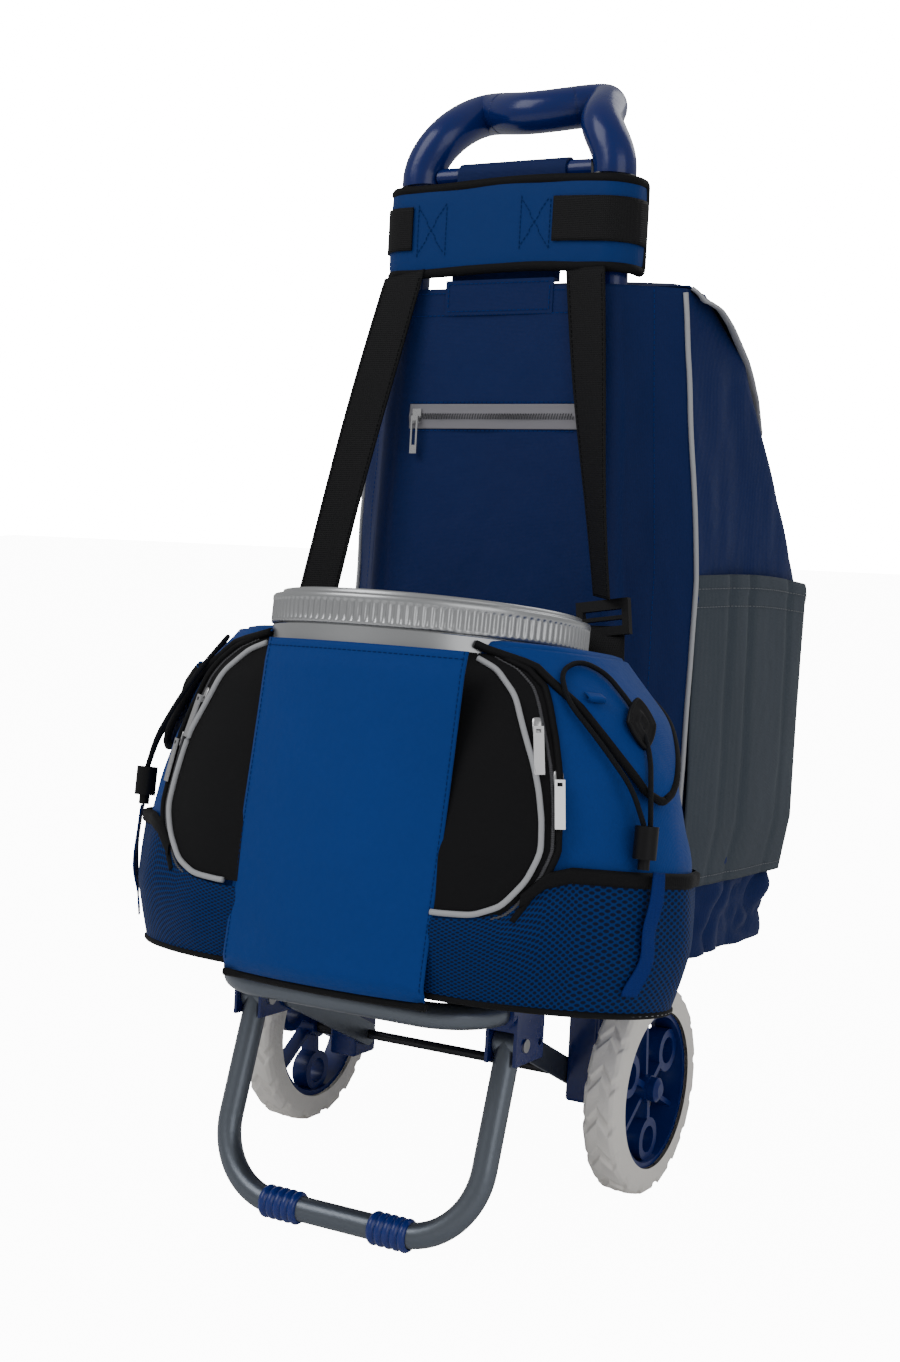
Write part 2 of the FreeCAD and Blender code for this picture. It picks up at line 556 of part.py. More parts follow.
# ---------------------------------------------------------------- cooler bag: tub and lid
tub = cut("tub",
          fuse("tub_outside",
               primitive("Cylinder", "tub_wall_out", (0, 0, 3), Z_AXIS, Radius="Sizes.tub_radius",
                         Height="Sizes.tub_height - 3"),
               primitive("Cylinder", "tub_collar", (0, 0, size("wrap_top") + GAP), Z_AXIS,
                         Radius="Sizes.collar_radius", Height=str(size("lid_base") - size("wrap_top") - 1.4))),
          primitive("Cylinder", "tub_room", (0, 0, 3 + size("tub_wall")), Z_AXIS,
                    Radius="Sizes.tub_radius - Sizes.tub_wall", Height="Sizes.tub_height"))
keep("tub", tub, COOLER)
gasket = cut("lid_gasket",
             primitive("Cylinder", "gasket_out", (0, 0, size("tub_height") + 0.3), Z_AXIS,
                       Radius="Sizes.tub_radius - 0.4", Height="2"),
             primitive("Cylinder", "gasket_in", (0, 0, size("tub_height")), Z_AXIS,
                       Radius="Sizes.tub_radius - 8", Height="4"))
keep("lid_gasket", gasket, COOLER)
lid_cup = cut("lid_cup",
              primitive("Cylinder", "lid_out", (0, 0, size("lid_base")), Z_AXIS,
                        Radius="Sizes.lid_radius", Height="Sizes.lid_top - Sizes.lid_base"),
              primitive("Cylinder", "lid_in", (0, 0, size("lid_base") - 1), Z_AXIS,
                        Radius="Sizes.lid_radius - Sizes.lid_wall",
                        Height="Sizes.lid_top - Sizes.lid_base - 2"))
lid_ring = cut("lid_ring",
               primitive("Cylinder", "lid_ring_out", (0, 0, size("lid_top") - 1), Z_AXIS,
                         Radius="Sizes.lid_radius - 7", Height="5"),
               primitive("Cylinder", "lid_ring_in", (0, 0, size("lid_top")), Z_AXIS,
                         Radius="Sizes.lid_radius - 11", Height="6"))
keep("tub_lid", fuse("tub_lid", lid_cup, lid_ring), COOLER)

# ---------------------------------------------------------------- cooler bag: cloth
wrap_in = size("tub_radius") + GAP
wrap_out = wrap_in + size("wrap_thick")
wrap = cut("tub_wrap",
           primitive("Cylinder", "wrap_outside", (0, 0, 0), Z_AXIS,
                     Radius=str(wrap_out), Height="Sizes.wrap_top"),
           primitive("Cylinder", "wrap_inside", (0, 0, 2.6), Z_AXIS,
                     Radius=str(wrap_in), Height="Sizes.wrap_top"))
keep("tub_wrap", wrap, COOLER)

half = size("front_panel_half")
bow_y = size("front_panel_bow")
edge_y = size("front_panel_edge")
thick = 2.4


def panel_face(offset):
    """The face under the front panel's arc, moved forward by offset."""
    arc = Part.Arc(Vector(-half, -edge_y - offset, 0), Vector(0, -bow_y - offset, 0),
                   Vector(half, -edge_y - offset, 0)).toShape()
    sides = [Part.LineSegment(Vector(half, -edge_y - offset, 0), Vector(half, 0, 0)).toShape(),
             Part.LineSegment(Vector(half, 0, 0), Vector(-half, 0, 0)).toShape(),
             Part.LineSegment(Vector(-half, 0, 0), Vector(-half, -edge_y - offset, 0)).toShape()]
    return Part.Face(Part.Wire([arc] + sides))


panel = panel_face(thick).extrude(Vector(0, 0, size("wrap_top"))).cut(
    panel_face(0).extrude(Vector(0, 0, size("wrap_top"))))
keep("cooler_front_panel", feature("cooler_front_panel", panel), COOLER)

# the zipped side compartments swell out from the tub
LOBE = [(0, -10, -10), (45, -1, 0), (100, 0, 0), (160, -13, -5), (205, -34, -14),
        (size("lobe_top"), -72, -34)]


def lobe_section(height, grow):
    """Half width and half depth of a compartment at a height, on a curve through the levels."""
    spans = list(zip(LOBE, LOBE[1:]))
    number = next((i for i, (low, high) in enumerate(spans) if height <= high[0]), len(spans) - 1)
    (z0, dx0, dy0), (z1, dx1, dy1) = spans[number]
    before = LOBE[max(number - 1, 0)]
    after = LOBE[min(number + 2, len(LOBE) - 1)]
    part = min(max((height - z0) / (z1 - z0), 0), 1)

    def eased(v0, v1, slope0, slope1):
        run = z1 - z0
        return (v0 * (1 + 2 * part) * (1 - part) ** 2 + run * slope0 * part * (1 - part) ** 2
                + v1 * part ** 2 * (3 - 2 * part) + run * slope1 * part ** 2 * (part - 1))

    slopes = [((high[k] - low[k]) / max(high[0] - low[0], 1)) for k in (1, 2)
              for low, high in ((before, (z1, dx1, dy1)), ((z0, dx0, dy0), after))]
    reach = size("lobe_reach") + eased(dx0, dx1, slopes[0], slopes[1])
    depth = size("lobe_depth") + eased(dy0, dy1, slopes[2], slopes[3])
    return reach - size("lobe_centre") + grow, depth + grow


def lobe_point(way, turn, height, grow=0.0):
    """A point on a compartment's skin, turn degrees from straight out, negative to the front."""
    wide, deep = lobe_section(height, grow)
    angle = math.radians(turn)
    return Vector(way * (size("lobe_centre") + wide * math.cos(angle)), deep * math.sin(angle), height)


def lobe_shape(way, grow):
    """A compartment's outside, pushed out by grow, before the tub is taken out of it."""
    rings = []
    count = int(size("lobe_levels"))
    for number in range(count):
        height = size("lobe_top") * number / (count - 1)
        wide, deep = lobe_section(height, grow)
        centre = Vector(way * size("lobe_centre"), 0, height)
        if wide > deep:
            ring = Part.Ellipse(centre + Vector(wide, 0, 0), centre + Vector(0, deep, 0), centre)
        else:
            ring = Part.Ellipse(centre + Vector(0, deep, 0), centre + Vector(-wide, 0, 0), centre)
        rings.append(Part.Wire(ring.toShape()))
    return Part.makeLoft(rings, True, True)


tub_room = Part.makeCylinder(wrap_out + GAP, 300, Vector(0, 0, -20)).fuse(
    Part.makeCylinder(size("collar_radius") + GAP, 300, Vector(0, 0, size("wrap_top") - 1)))
for side, way in SIDES:
    inner = way * (half + 0.5)
    keep_side = slab(-20, 400, -300, 300, *sorted((inner, way * 400)))
    lobe = lobe_shape(way, 0).common(keep_side).cut(tub_room)
    keep("compartment_" + side, feature("compartment_" + side, lobe), COOLER)
    mesh_slab = slab(1.5, size("mesh_top"), -300, 300, *sorted((way * 118, way * 400)))
    mesh = lobe_shape(way, 4).cut(lobe_shape(way, GAP)).common(mesh_slab)
    keep("mesh_pocket_" + side, feature("mesh_pocket_" + side, mesh.cut(tub_room)), COOLER)
    flap_zone = slab(128, 240, -66, 70, *sorted((way * 100, way * 400)))
    flap = lobe_shape(way, 3).cut(lobe_shape(way, GAP)).common(flap_zone)
    keep("compartment_flap_" + side, feature("compartment_flap_" + side, flap.cut(tub_room)), COOLER)

# elastic cord over each flap, its cord lock and the two webbing tails
badges = []
cord_r = size("cord_radius")
lock_z = size("lock_height")
for side, way in SIDES:
    up = [(-27, lock_z + 12), (-30, 154), (-38, 182), (-47, 208), (-46, 228), (-34, 237),
          (-23, 230), (-18, 206), (-18, 178), (-23, 153), (-24.6, lock_z + 12)]
    points = [tuple(lobe_point(way, turn, height, 11 if height < 160 else 7)) for turn, height in up]
    cord = rod_along(cord_path(points), cord_r)
    keep("elastic_cord_" + side, feature("elastic_cord_" + side, cord), COOLER)
    mid = (Vector(*points[0]) + Vector(*points[-1])) / 2
    barrel = Part.makeCylinder(8, 22, Vector(mid.x, mid.y, lock_z - 10))
    barrel = barrel.cut(Part.makeCylinder(4.2, 17, Vector(mid.x, mid.y, lock_z - 11)))
    keep("cord_lock_" + side, feature("cord_lock_" + side, barrel), COOLER)
    plunger = Part.makeCylinder(4, 16, Vector(mid.x, mid.y, lock_z - 17))
    plunger = plunger.cut(box_between((mid.x - 9, mid.y - 9, lock_z - 1.5),
                                      (mid.x + 9, mid.y + 9, lock_z + 9)))
    keep("cord_lock_button_" + side, feature("cord_lock_button_" + side, plunger), COOLER)
    badge_at = lobe_point(way, -6, 186, 7.5)
    badge = Part.makeCylinder(17, 2.4, badge_at, Vector(way * 0.86, -0.14, 0.5))
    badges.append(feature("badge_" + side, badge))
keep("badges", group("badges", *badges), COOLER)

# zip pulls on the curved compartment zips: two on each side, hanging from their sliders
PULL_STAND = 3.4
PULLS = (("upper", -58, 186), ("lower", -52, 152))
for side, way in SIDES:
    for name, turn, height in PULLS:
        seat = lobe_point(way, turn, height, PULL_STAND)
        hang = (seat - lobe_point(way, turn, height - 30, PULL_STAND)).normalize()
        across = Vector(way * math.cos(math.radians(90 + turn)), math.sin(math.radians(90 + turn)), 0)
        tab = box_between((-3.6, -0.8, -30), (3.6, 0.8, 3))
        tab = tab.cut(box_between((-1.8, -5, -1.5), (1.8, 5, 1)))
        tab.Placement = Placement(seat, Rotation(across, Vector(), hang, "ZXY"))
        keep("zip_pull_%s_%s" % (name, side), feature("zip_pull_%s_%s" % (name, side), tab), COOLER)

# ---------------------------------------------------------------- shoulder strap
pad_low = size("shoulder_pad_base")
pad_high = pad_low + size("shoulder_pad_tall")
inner_half = size("upright_foot_x") - narrowing * (pad_low - size("upright_foot")) + size("tube_radius") + 1.5
inner_y = -size("tube_radius") - 1.5


def pad_shell(half_width, front_y, corner):
    """A block round both uprights, open at the rear, with rounded front corners."""
    block = box_between((-half_width, front_y, pad_low), (half_width, 60, pad_high))
    edges = [e for e in block.Edges if abs(e.Vertexes[0].Point.z - e.Vertexes[-1].Point.z) > 1
             and e.Vertexes[0].Point.y < 0]
    return block.makeFillet(corner, edges)


thick_pad = size("shoulder_pad_thick")
pad = pad_shell(inner_half + thick_pad, inner_y - thick_pad, 12 + thick_pad).cut(
    pad_shell(inner_half, inner_y, 12)).cut(slab(0, 900, 11, 200))
pad = pad.cut(feature("hanger_room", box_between((-hang_half - 2, face_y - 3, 0),
                                                 (hang_half + 2, 0, size("bag_top") + 8))).Shape)
keep("shoulder_pad", feature("shoulder_pad", pad), UPRIGHT)


def strap_between(name, top, low):
    """A webbing strap from the pad down to the cooler bag."""
    start = UPRIGHT.multVec(Vector(*top))
    end = Vector(*low)
    along = end - start
    strip = box_between((-size("webbing_width") / 2, -size("webbing_thick") / 2, -along.Length),
                        (size("webbing_width") / 2, size("webbing_thick") / 2, 0))
    strip.Placement = Placement(start, Rotation(Z_AXIS, along * -1))
    keep(name, feature(name, strip), GROUND)


strap_y = inner_y - thick_pad / 2 - 1
strap_between("shoulder_strap_left", (-86, strap_y - 2, pad_low - 3), (-140, -24, 436))
strap_between("shoulder_strap_right", (78, strap_y - 2, pad_low - 3), (119, -10, 470))
lock_low = Vector(121, -9, 452)
buckle = box_between((-22, -3, -14), (22, 3, 14))
for row in (-7, 1):
    buckle = buckle.cut(box_between((-16.5, -5, row), (16.5, 5, row + 5)))
lock_up = UPRIGHT.multVec(Vector(78, strap_y, pad_low)) - lock_low
buckle.Placement = Placement(lock_low, Rotation(Z_AXIS, lock_up))
keep("strap_adjuster", feature("strap_adjuster", buckle), GROUND)

# ---------------------------------------------------------------- check, centre and write
doc.recompute()
for thing in doc.Objects:
    if "Invalid" in thing.State or "Error" in thing.State:
        raise RuntimeError("%s did not compute" % thing.Label)
whole = FreeCAD.BoundBox()
for name, piece in nodes.items():
    shape = piece.Shape
    if shape.isNull() or not shape.isValid() or shape.Volume <= 0:
        raise RuntimeError("%s has no valid solid" % name)
    whole.add(shape.optimalBoundingBox(False))
centre = Vector(-(whole.XMin + whole.XMax) / 2, -(whole.YMin + whole.YMax) / 2, -whole.ZMin)
print("size", round(whole.XLength, 1), round(whole.YLength, 1), round(whole.ZLength, 1))
print("shift", [round(v, 4) for v in centre])
os.makedirs("parts", exist_ok=True)
for name, piece in nodes.items():
    moved = piece.Placement
    moved.Base = moved.Base + centre
    piece.Placement = moved
    piece.Shape.exportStep("parts/%s.step" % name)
print(len(nodes), "sub-parts")
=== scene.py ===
import math

import bpy
import numpy as np
from mathutils import Matrix, Vector, noise


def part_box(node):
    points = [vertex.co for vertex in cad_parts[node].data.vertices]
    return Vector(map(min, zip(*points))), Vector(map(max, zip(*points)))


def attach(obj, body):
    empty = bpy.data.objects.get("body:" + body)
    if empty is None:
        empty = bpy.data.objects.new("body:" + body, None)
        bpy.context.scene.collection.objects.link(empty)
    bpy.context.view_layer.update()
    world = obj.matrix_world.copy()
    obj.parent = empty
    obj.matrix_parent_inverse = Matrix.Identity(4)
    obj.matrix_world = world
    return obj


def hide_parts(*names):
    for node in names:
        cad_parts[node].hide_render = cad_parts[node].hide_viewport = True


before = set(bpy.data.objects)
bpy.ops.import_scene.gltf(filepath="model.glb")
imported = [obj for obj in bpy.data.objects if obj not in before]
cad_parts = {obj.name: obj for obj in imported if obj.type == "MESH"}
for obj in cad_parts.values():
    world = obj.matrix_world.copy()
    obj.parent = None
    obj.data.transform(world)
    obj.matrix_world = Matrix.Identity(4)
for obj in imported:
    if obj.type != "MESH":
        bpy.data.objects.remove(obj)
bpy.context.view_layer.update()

# ---- where things stand
# The axle is the datum: the uprights lean back from it, and the cooler bag stands on the platform in front
# of it, tilted the same way. Places on either are given in millimetres along their own leaning axes.
axle_low, axle_high = (np.array(corner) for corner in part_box("axle"))
axle_centre = (axle_low + axle_high) / 2
upright_lean = math.radians(5.3)
cooler_lean = math.radians(10.5)
cooler_base = axle_centre + np.array([0.028, -0.160, 0.1145])


def leaned(points, origin, lean):
    """Points in mm on axes that lean back by lean, as metres in the row frame."""
    x, y, z = np.moveaxis(np.asarray(points, float), -1, 0) / 1000
    return np.stack([origin[0] + x,
                     origin[1] + y * math.cos(lean) + z * math.sin(lean),
                     origin[2] - y * math.sin(lean) + z * math.cos(lean)], -1)


def on_upright(points):
    return leaned(points, axle_centre, upright_lean)


def on_cooler(points):
    return leaned(points, cooler_base, cooler_lean)


# ---- studio
# A pale seamless floor, one wide soft lamp from the front left, a weaker one from the right and a pale sky.
# The camera stands low at the front right corner, a little over a metre away.
camera_data = bpy.data.cameras.new("camera")
camera_data.sensor_fit = "VERTICAL"
camera_data.sensor_height = 36
camera_data.lens = 49.24
camera = bpy.data.objects.new("camera", camera_data)
yaw, pitch, roll = math.radians(29.635), math.radians(-7.416), math.radians(-0.551)
forward = Vector((-math.sin(yaw) * math.cos(pitch), math.cos(yaw) * math.cos(pitch), math.sin(pitch)))
camera.matrix_world = Matrix.Translation((0.6957, -1.3114, 0.5881)) @ (
    forward.to_track_quat("-Z", "Y").to_matrix().to_4x4() @ Matrix.Rotation(-roll, 4, "Z"))
bpy.context.scene.collection.objects.link(camera)
bpy.context.scene.camera = camera



def settle(node, values):
    """Set a shader node's inputs by name."""
    for name, value in values.items():
        node.inputs[name].default_value = value
    return node


bpy.ops.mesh.primitive_plane_add(size=14, location=(0, 0, -0.0005))
floor = bpy.context.object
floor.name = "floor"
floor_finish = bpy.data.materials.new("floor")
floor_finish.use_nodes = True
floor_nodes, floor_links = floor_finish.node_tree.nodes, floor_finish.node_tree.links
floor_shader = settle(floor_nodes["Principled BSDF"], {
    "Base Color": (0.93, 0.93, 0.93, 1), "Roughness": 0.9, "Specular IOR Level": 0.1,
    "Emission Color": (1, 1, 1, 1)})
# the floor glows white to the eye only, and lights nothing
floor_sight = floor_nodes.new("ShaderNodeLightPath")
floor_glow = floor_nodes.new("ShaderNodeMath")
floor_glow.operation = "MULTIPLY"
floor_glow.inputs[1].default_value = 12
floor_links.new(floor_sight.outputs["Is Camera Ray"], floor_glow.inputs[0])
floor_links.new(floor_glow.outputs[0], floor_shader.inputs["Emission Strength"])
floor.data.materials.append(floor_finish)

for name, place, aim, width, power in (("key", (-1.1, -1.6, 2.3), (0, 0, 0.4), 1.6, 24),
                                       ("fill", (2.2, -1.2, 1.3), (0, 0, 0.4), 1.8, 13),
                                       ("rim", (0.6, 2.2, 2.2), (0, 0, 0.5), 1.5, 12)):
    lamp_data = bpy.data.lights.new(name, "AREA")
    lamp_data.size = width
    lamp_data.energy = power
    lamp = bpy.data.objects.new(name, lamp_data)
    lamp.matrix_world = Matrix.Translation(place) @ (
        (Vector(aim) - Vector(place)).to_track_quat("-Z", "Y").to_matrix().to_4x4())
    bpy.context.scene.collection.objects.link(lamp)
sky = bpy.data.worlds.new("sky")
sky.use_nodes = True
sky_nodes, sky_links = sky.node_tree.nodes, sky.node_tree.links
settle(sky_nodes["Background"], {"Color": (1, 1, 1, 1)})
sky_sight = sky_nodes.new("ShaderNodeLightPath")
sky_power = settle(sky_nodes.new("ShaderNodeMapRange"), {"To Min": 0.4, "To Max": 20.0})
sky_links.new(sky_sight.outputs["Is Camera Ray"], sky_power.inputs["Value"])
sky_links.new(sky_power.outputs["Result"], sky_nodes["Background"].inputs["Strength"])
bpy.context.scene.world = sky

# ---- wheels
# Two 165 mm wheels: a glossy blue moulded hub with three ring shaped spokes, and a cream foam tyre whose
# tread is carved into a zigzag of blocks. Each turns on the fixed axle behind a round blue cap.


def finish(name, colour, rough, metal=0.0, coat=0.0, shine=0.5, sheen=0.0, grain=None, weave=None,
           mottle=0.0):
    """A material; grain is a fine noise and weave a crossed thread, each as (scale, depth in metres)."""
    made = bpy.data.materials.new(name)
    made.use_nodes = True
    nodes, links = made.node_tree.nodes, made.node_tree.links
    shader = settle(nodes["Principled BSDF"], {
        "Base Color": (*colour, 1), "Roughness": rough, "Metallic": metal, "Specular IOR Level": shine,
        "Coat Weight": coat, "Coat Roughness": 0.15, "Sheen Weight": sheen, "Sheen Roughness": 0.5})
    place = nodes.new("ShaderNodeTexCoord")
    relief = []
    if grain:
        speckle = settle(nodes.new("ShaderNodeTexNoise"), {"Scale": grain[0], "Detail": 4})
        links.new(place.outputs["Object"], speckle.inputs["Vector"])
        relief.append((speckle.outputs["Fac"], grain[1]))
    if weave:
        threads = []
        for direction in ("X", "Z"):
            band = settle(nodes.new("ShaderNodeTexWave"), {"Scale": weave[0]})
            band.bands_direction = direction
            links.new(place.outputs["Object"], band.inputs["Vector"])
            threads.append(band.outputs["Fac"])
        both = nodes.new("ShaderNodeMath")
        both.operation = "MULTIPLY"
        links.new(threads[0], both.inputs[0])
        links.new(threads[1], both.inputs[1])
        relief.append((both.outputs[0], weave[1]))
    normal = None
    for height, depth in relief:
        bump = settle(nodes.new("ShaderNodeBump"), {"Distance": depth, "Strength": 0.6})
        links.new(height, bump.inputs["Height"])
        if normal:
            links.new(normal, bump.inputs["Normal"])
        normal = bump.outputs["Normal"]
    if normal:
        links.new(normal, shader.inputs["Normal"])
    if mottle:
        cloud = settle(nodes.new("ShaderNodeTexNoise"), {"Scale": 9, "Detail": 6})
        links.new(place.outputs["Object"], cloud.inputs["Vector"])
        blend = nodes.new("ShaderNodeMix")
        blend.data_type = "RGBA"
        blend.inputs[6].default_value = (*[c * (1 - mottle) for c in colour], 1)
        blend.inputs[7].default_value = (*[min(1, c * (1 + mottle)) for c in colour], 1)
        links.new(cloud.outputs["Fac"], blend.inputs[0])
        links.new(blend.outputs[2], shader.inputs["Base Color"])
    return made


def coat(node, material):
    """Give a CAD node its finish."""
    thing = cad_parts[node]
    for index in range(len(thing.data.materials)):
        thing.data.materials[index] = material
    if not thing.data.materials:
        thing.data.materials.append(material)


def surface(name, grid, material, around=False, thick=0.0):
    """A skin through a grid of points in metres; around joins its first and last columns."""
    rows, columns = grid.shape[:2]
    index = np.arange(rows * columns).reshape(rows, columns)
    right = np.roll(index, -1, 1)
    faces = np.stack([index[:-1], right[:-1], right[1:], index[1:]], -1)
    if not around:
        faces = faces[:, :-1]
    mesh = bpy.data.meshes.new(name)
    mesh.from_pydata(grid.reshape(-1, 3), [], faces.reshape(-1, 4).tolist())
    mesh.polygons.foreach_set("use_smooth", [True] * len(mesh.polygons))
    places = mesh.uv_layers.new(name="UVMap")
    corners = np.empty(len(mesh.loops), int)
    mesh.loops.foreach_get("vertex_index", corners)
    across_up = np.stack([(corners % columns) / columns, (corners // columns) / rows], -1)
    places.data.foreach_set("uv", across_up.ravel())
    mesh.materials.append(material)
    thing = bpy.data.objects.new(name, mesh)
    bpy.context.scene.collection.objects.link(thing)
    if thick:
        solid = thing.modifiers.new("thickness", "SOLIDIFY")
        solid.thickness = thick
        solid.offset = 0
    return thing


def full_turn(count):
    return np.linspace(0, 2 * math.pi, count, endpoint=False)


def drawn(points, count):
    """A line of count points through a few given ones."""
    points = np.asarray(points, float)
    steps = np.linspace(0, len(points) - 1, count)
    return np.stack([np.interp(steps, range(len(points)), column) for column in points.T], -1)


hub_blue = finish("hub_blue", (0.001, 0.014, 0.13), 0.34, coat=0.1, shine=0.35)
foam_white = finish("foam_white", (0.86, 0.83, 0.78), 0.75, grain=(420, 0.0006), mottle=0.06)
tyre_radius, rim_radius, tyre_half = 82.5, 61.2, 14.4
tread_waves, groove_deep, scallop_deep = 16, 2.6, 1.1
for side in ("left", "right"):
    low, high = (np.array(corner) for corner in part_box("tyre_" + side))
    middle = (low + high) / 2
    turns = full_turn(384)
    # across the tyre: flat inner face on the rim, rounded shoulders, tread between them
    across = drawn([(-1.0, 0.0), (-1.0, 0.45), (-0.97, 0.72), (-0.86, 0.90), (-0.66, 0.975), (-0.45, 0.995),
                    (-0.3, 1.0), (-0.15, 1.0), (0, 1.0), (0.15, 1.0), (0.3, 1.0), (0.45, 0.995),
                    (0.66, 0.975), (0.86, 0.90), (0.97, 0.72), (1.0, 0.45), (1.0, 0.0)], 65)
    way_across, rise = across[:, :1], across[:, 1:]
    # the grooves run in a zigzag from shoulder to shoulder, with a shallow scallop at each edge
    phase = tread_waves * turns[None, :] + 2.2 * np.abs((way_across * 1.6) % 2 - 1)
    groove = np.clip(np.sin(phase) * 3 - 1.4, 0, 1) * np.clip((rise - 0.55) / 0.3, 0, 1)
    scallop = np.clip((rise - 0.35) / 0.5, 0, 1) * scallop_deep * (0.5 - 0.5 * np.sin(phase - 0.5))
    radius = rim_radius + (tyre_radius - rim_radius) * rise - groove_deep * groove - scallop
    offset = way_across * tyre_half * (1 - 0.07 * groove)
    grid = np.stack([offset + 0 * turns, radius * np.cos(turns), radius * np.sin(turns)], -1)
    grid = grid / 1000 + middle
    tyre = surface("tyre_tread_" + side, grid, foam_white, around=True)
    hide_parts("tyre_" + side)
    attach(tyre, "wheel_" + side)
    coat("wheel_hub_" + side, hub_blue)
    coat("hub_cap_" + side, hub_blue)

# ---- frame
# Blue enamelled steel uprights with a moulded blue loop handle, blue moulded corner brackets, and a silver
# painted tube for the platform and the folding leg. The axle, nuts and rivets are bare steel.
handle_blue = finish("handle_blue", (0.0008, 0.013, 0.13), 0.25, coat=0.15, shine=0.4, grain=(90, 0.0004))
frame_silver = finish("frame_silver", (0.15, 0.17, 0.20), 0.36, metal=0.75, coat=0.1, grain=(260, 0.0003))
bare_steel = finish("bare_steel", (0.42, 0.42, 0.42), 0.35, metal=1.0)
dark_rod = finish("dark_rod", (0.05, 0.05, 0.055), 0.4, metal=0.8)
for node in ("handle", "upright_left", "upright_right", "upper_crossbar", "lower_crossbar",
             "axle_bracket_left", "axle_bracket_right", "leg_bracket_left", "leg_bracket_right"):
    coat(node, handle_blue)
for node in ("platform_loop", "leg_frame", "strut_left", "strut_right"):
    coat(node, frame_silver)
for node in ("axle_nuts", "leg_pins", "strut_bolts"):
    coat(node, bare_steel)
for node in ("axle", "wheel_bushes"):
    coat(node, dark_rod)

# Two ribbed blue rubber sleeves are pushed onto the leg's foot, so that it doesn't slide.
pad_blue = finish("pad_blue", (0.002, 0.022, 0.20), 0.35, coat=0.3)
foot_low, foot_high = (np.array(corner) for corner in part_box("foot_pads"))
pad_length, pad_ribs, pad_bore, pad_radius, rib_high = 0.033, 5, 0.0096, 0.0103, 0.0022
for side, start in (("left", foot_low[0]), ("right", foot_high[0] - pad_length)):
    run = np.linspace(0, 1, 90)
    ridge = np.abs(np.sin(run * math.pi * pad_ribs)) ** 0.7
    radius = pad_radius + rib_high * ridge
    radius[[0, -1]] = pad_bore
    turns = full_turn(72)
    centre = (foot_low + foot_high) / 2
    grid = np.stack([start + pad_length * run[:, None] + 0 * turns,
                     centre[1] + radius[:, None] * np.cos(turns),
                     centre[2] + radius[:, None] * np.sin(turns)], -1)
    pad = surface("foot_sleeve_" + side, grid, pad_blue, around=True)
    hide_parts("foot_pads")
    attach(pad, "front_leg")

# ---- rear bag
# A tall bag of royal blue oxford cloth. Its flat front panel hangs on the uprights, the corners next to it
# are piped in pale grey, the sides swell to the rear and the mouth slopes down behind the uprights.
bag_blue = finish("bag_blue", (0.0008, 0.013, 0.092), 0.66, shine=0.22, sheen=0.03, weave=(300, 0.00025),
                  grain=(26, 0.004), mottle=0.12)
piping_grey = finish("piping_grey", (0.42, 0.43, 0.45), 0.55)
lining_black = finish("lining_black", (0.003, 0.003, 0.004), 0.85, shine=0.15)
thread_blue = finish("thread_blue", (0.003, 0.03, 0.19), 0.7, shine=0.2)
# height, front half width, front corner x and y, rear corner x and y, all in mm on the uprights' axes
bag_levels = np.array([(90, 97, 150, 30, 165, 236), (200, 97, 160, 42, 180, 248),
                       (400, 96, 156, 45, 180, 248), (480, 95, 153, 38, 176, 190),
                       (565, 94, 150, 26, 167, 134), (628, 94, 147, 16, 158, 110)])
bag_front, bag_foot, bag_rear_top, bag_top = -17.6, 90, 565, 628


def level(height, column):
    return np.interp(height, bag_levels[:, 0], bag_levels[:, column])


def bag_outline(heights):
    """Points round the bag at each height, front panel first, with its corners rounded."""
    half, corner_x, corner_y, rear_x, rear_y = (level(heights, column) for column in range(1, 6))
    front = bag_front + 0 * half
    corners = np.stack([np.stack([x, y], -1) for x, y in (
        (-half, front), (half, front), (corner_x, corner_y), (rear_x, rear_y - 10), (rear_x - 20, rear_y),
        (20 - rear_x, rear_y), (-rear_x, rear_y - 10), (-corner_x, corner_y))], -2)
    radii = (10, 10, 5, 14, 16, 16, 14, 5)
    counts = (60, 26, 60, 3, 50, 3, 60, 26)
    parts = []
    for number in range(8):
        here, before, after = corners[:, number], corners[:, number - 1], corners[:, (number + 1) % 8]
        from_before = (before - here) / np.linalg.norm(before - here, axis=-1, keepdims=True)
        to_after = (after - here) / np.linalg.norm(after - here, axis=-1, keepdims=True)
        next_from = here - after
        next_from = next_from / np.linalg.norm(next_from, axis=-1, keepdims=True)
        start = here + to_after * radii[number]
        for share in np.linspace(0, 1, 7):
            parts.append((1 - share) ** 2 * (here + from_before * radii[number])
                         + 2 * share * (1 - share) * here + share ** 2 * start)
        end = after + next_from * radii[(number + 1) % 8]
        for share in np.linspace(0, 1, counts[number] + 2)[1:-1]:
            parts.append(start + (end - start) * share)
    return np.stack(parts, 1)


def rumple(places, scale, strength, seed=0.0):
    """Smooth random heights in mm over an array of points; scale is how many folds there are per mm."""
    flat = (np.asarray(places) * np.asarray(scale)).reshape(-1, 3)
    values = np.array([noise.noise((x + seed, y, z)) for x, y, z in flat.tolist()])
    return strength * values.reshape(np.asarray(places).shape[:-1])


def mouth_height(y):
    """The sloping mouth: level at the front, then down to the rear."""
    return np.clip(bag_top - (y - 46) * (63 / 88), bag_rear_top, bag_top)


